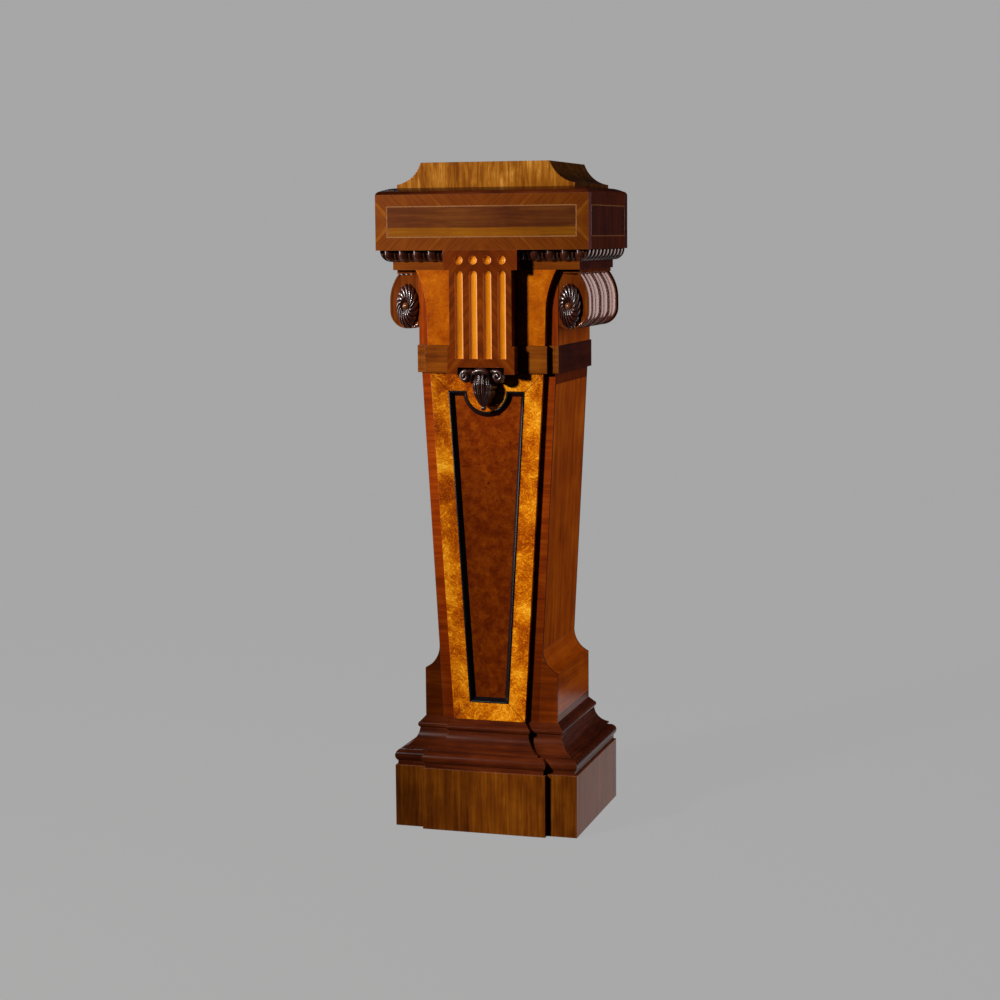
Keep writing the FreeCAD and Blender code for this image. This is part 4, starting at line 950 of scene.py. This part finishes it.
def scroll(side_name, side_sign):
    """A volute: a round bar that winds inward, in front of a solid disc."""
    centre_x, centre_z, tall, turns, steps = 0.0300, 0.8250, 1.08, 1.35, 90
    path = [Vector((side_sign * 0.0130, -0.1405, 0.8300)),
            Vector((side_sign * 0.0170, -0.1420, 0.8325)),
            Vector((side_sign * 0.0212, -0.1432, 0.8341))]
    radii = [0.0020, 0.0032, 0.0039]
    for step in range(steps + 1):
        share = step / steps
        angle = math.radians(115.0) - 2 * math.pi * turns * share
        radius = 0.0084 * (1.0 - share) + 0.0016 * share
        path.append(Vector((side_sign * (centre_x + radius * math.cos(angle)),
                            -0.1440 - 0.0052 * share ** 1.5,
                            centre_z + tall * radius * math.sin(angle))))
        radii.append(0.0040 - 0.0012 * share)
    radii[-1] = 0.0004
    tube(f"carved_scroll_{side_name}", path, radii, "carved", "dark_carving", 1.1)
    disc, disc_steps = [], 60
    for radius, y in ((0.0001, -0.1445), (0.0085, -0.1445), (0.0108, -0.1420), (0.0118, -0.1370),
                      (0.0118, -LEAF_BACK_ABOVE), (0.0001, -LEAF_BACK_ABOVE)):
        for step in range(disc_steps):
            angle = 2 * math.pi * step / disc_steps
            disc.append((side_sign * (centre_x + radius * math.cos(angle)), y,
                         centre_z + tall * radius * math.sin(angle)))
    new_piece(f"scroll_disc_{side_name}", disc, ring_faces(6, disc_steps), "carved",
              "dark_carving")


def tip_bead():
    """The slightly square bead that hangs at the leaf's tip."""
    rings, steps, radius = 16, 32, 0.0046
    vertices = []
    for ring in range(rings + 1):
        polar = math.pi * ring / rings
        for step in range(steps):
            angle = 2 * math.pi * step / steps
            pinch = 1.0 - 0.12 * math.cos(4 * angle) * math.sin(polar) ** 4
            vertices.append((radius * math.sin(polar) * math.cos(angle) * pinch,
                             -0.1335 - radius * math.sin(polar) * math.sin(angle) * pinch,
                             0.7678 + radius * math.cos(polar)))
    new_piece("carved_bead", vertices, ring_faces(rings + 1, steps), "carved", "dark_carving")


leaf()
leaf_curl()
tip_bead()
for side_name, side_sign in SIDES:
    scroll(side_name, side_sign)


# ------------------------------------------------------------------ stage, light, camera


def stage_piece(name, vertices, faces, reflected):
    """Part of the studio. Only some of it shows in the stand's polish."""
    mesh = bpy.data.meshes.new(name)
    mesh.from_pydata(vertices, [], faces)
    for polygon in mesh.polygons:
        polygon.use_smooth = True
    mesh.materials.append(bpy.data.materials.get("floor_paint") or floor_paint())
    piece = bpy.data.objects.new(name, mesh)
    piece.visible_diffuse = False
    piece.visible_glossy = reflected
    bpy.context.scene.collection.objects.link(piece)


def build_stage():
    """A plain floor, and far out a round wall that curves up from it on all sides."""
    below, reach, strip_front, strip_back = -0.0002, 9.0, -0.15, 1.0
    for name, near, far, reflected in (("studio_floor_front", -reach, strip_front, False),
                                       ("studio_floor", strip_front, strip_back, True),
                                       ("studio_floor_back", strip_back, reach, False)):
        stage_piece(name, [(x, y, below) for y in (near, far) for x in (-reach, reach)],
                    [(0, 1, 3, 2)], reflected)
    start, bend, height, steps = 5.0, 3.0, 12.0, 96
    profile = [(start + bend * math.sin(math.radians(angle)),
                bend * (1.0 - math.cos(math.radians(angle)))) for angle in range(0, 91, 6)]
    profile.append((start + bend, height))
    turns = [2 * math.pi * step / steps for step in range(steps)]
    stage_piece("studio_backdrop", [(radius * math.cos(turn), radius * math.sin(turn), up + below)
                                    for radius, up in profile for turn in turns],
                ring_faces(len(profile), steps), False)


def area_light(name, place, size, radiance, tint, lit):
    """A soft box, its power set from how bright its face is. Lit names what it lights."""
    lamp = bpy.data.lights.new(name, "AREA")
    lamp.shape = "RECTANGLE"
    lamp.size, lamp.size_y = size
    lamp.energy = radiance * math.pi * size[0] * size[1]
    lamp.color = tint
    holder = bpy.data.objects.new(name, lamp)
    holder.location = place
    way = Vector(LAMP_TARGET) - Vector(place)
    holder.rotation_euler = way.to_track_quat("-Z", "Y").to_euler()
    holder.visible_camera = False
    if lit:
        holder.light_linking.receiver_collection = lit
    bpy.context.scene.collection.objects.link(holder)


# Name, place, size, radiance, tint, and whether it lights the stand alone.
LAMPS = (
    ("key", (-1.97, -3.22, 2.02), (0.35, 0.35), 470.0, (1.0, 0.97, 0.93), False),
    ("right", (2.45, 1.58, 1.20), (2.9, 4.0), 2.1, (1.0, 0.80, 0.76), True),
    ("left", (-2.50, -0.68, 0.95), (1.1, 1.6), 7.0, (1.0, 0.84, 0.84), True),
    ("behind", (-2.8, 2.4, 1.2), (3.0, 3.0), 1.1, (0.94, 0.96, 1.0), True),
)
LAMP_TARGET = (0.0, 0.0, 0.7)
SURROUND = 0.006


def build_lights():
    """A small key light, and three large soft boxes for the stand alone."""
    stand = bpy.data.collections.new("stand")
    for thing in bpy.context.scene.objects:
        if thing.type == "MESH" and not thing.name.startswith("studio_"):
            stand.objects.link(thing)
    for name, place, size, radiance, tint, alone in LAMPS:
        area_light(name, place, size, radiance, tint, stand if alone else None)
    world = bpy.data.worlds.new("studio")
    world.use_nodes = True
    world.node_tree.nodes["Background"].inputs[0].default_value = (1.0, 1.0, 1.0, 1.0)
    world.node_tree.nodes["Background"].inputs[1].default_value = SURROUND
    bpy.context.scene.world = world
    bpy.context.scene.view_settings.view_transform = "Standard"


# The view fitted to the photograph: angles in degrees, the rest in metres. The shared frame
# lies 10 mm behind the fit's own origin.
CAMERA_TURN, CAMERA_RISE, CAMERA_ROLL = 16.693, 7.133, -0.4655
CAMERA_DISTANCE, AIM_RIGHT, AIM_HEIGHT, FIT_BEHIND = 3.890, -0.0132, 0.5864, 0.010
FOCAL_PIXELS, PICTURE_PIXELS, SENSOR_WIDTH = 2106.7, 1000.0, 36.0


def build_camera():
    """A camera at the photograph's viewing angle."""
    turn, rise, roll = (math.radians(angle)
                        for angle in (CAMERA_TURN, CAMERA_RISE, CAMERA_ROLL))
    back = Vector((math.sin(turn) * math.cos(rise), -math.cos(turn) * math.cos(rise),
                   math.sin(rise)))
    target = Vector((AIM_RIGHT * math.cos(turn), AIM_RIGHT * math.sin(turn) + FIT_BEHIND,
                     AIM_HEIGHT))
    right = (-back).cross(Vector((0.0, 0.0, 1.0))).normalized()
    up = right.cross(-back)
    tilted_right = right * math.cos(roll) + up * math.sin(roll)
    tilted_up = up * math.cos(roll) - right * math.sin(roll)
    turned = Matrix((tilted_right, tilted_up, back)).transposed().to_4x4()
    camera = bpy.data.cameras.new("camera")
    camera.sensor_width = SENSOR_WIDTH
    camera.lens = FOCAL_PIXELS / PICTURE_PIXELS * SENSOR_WIDTH
    holder = bpy.data.objects.new("camera", camera)
    holder.matrix_world = Matrix.Translation(target + CAMERA_DISTANCE * back) @ turned
    bpy.context.scene.collection.objects.link(holder)
    bpy.context.scene.camera = holder


build_stage()
build_lights()
build_camera()
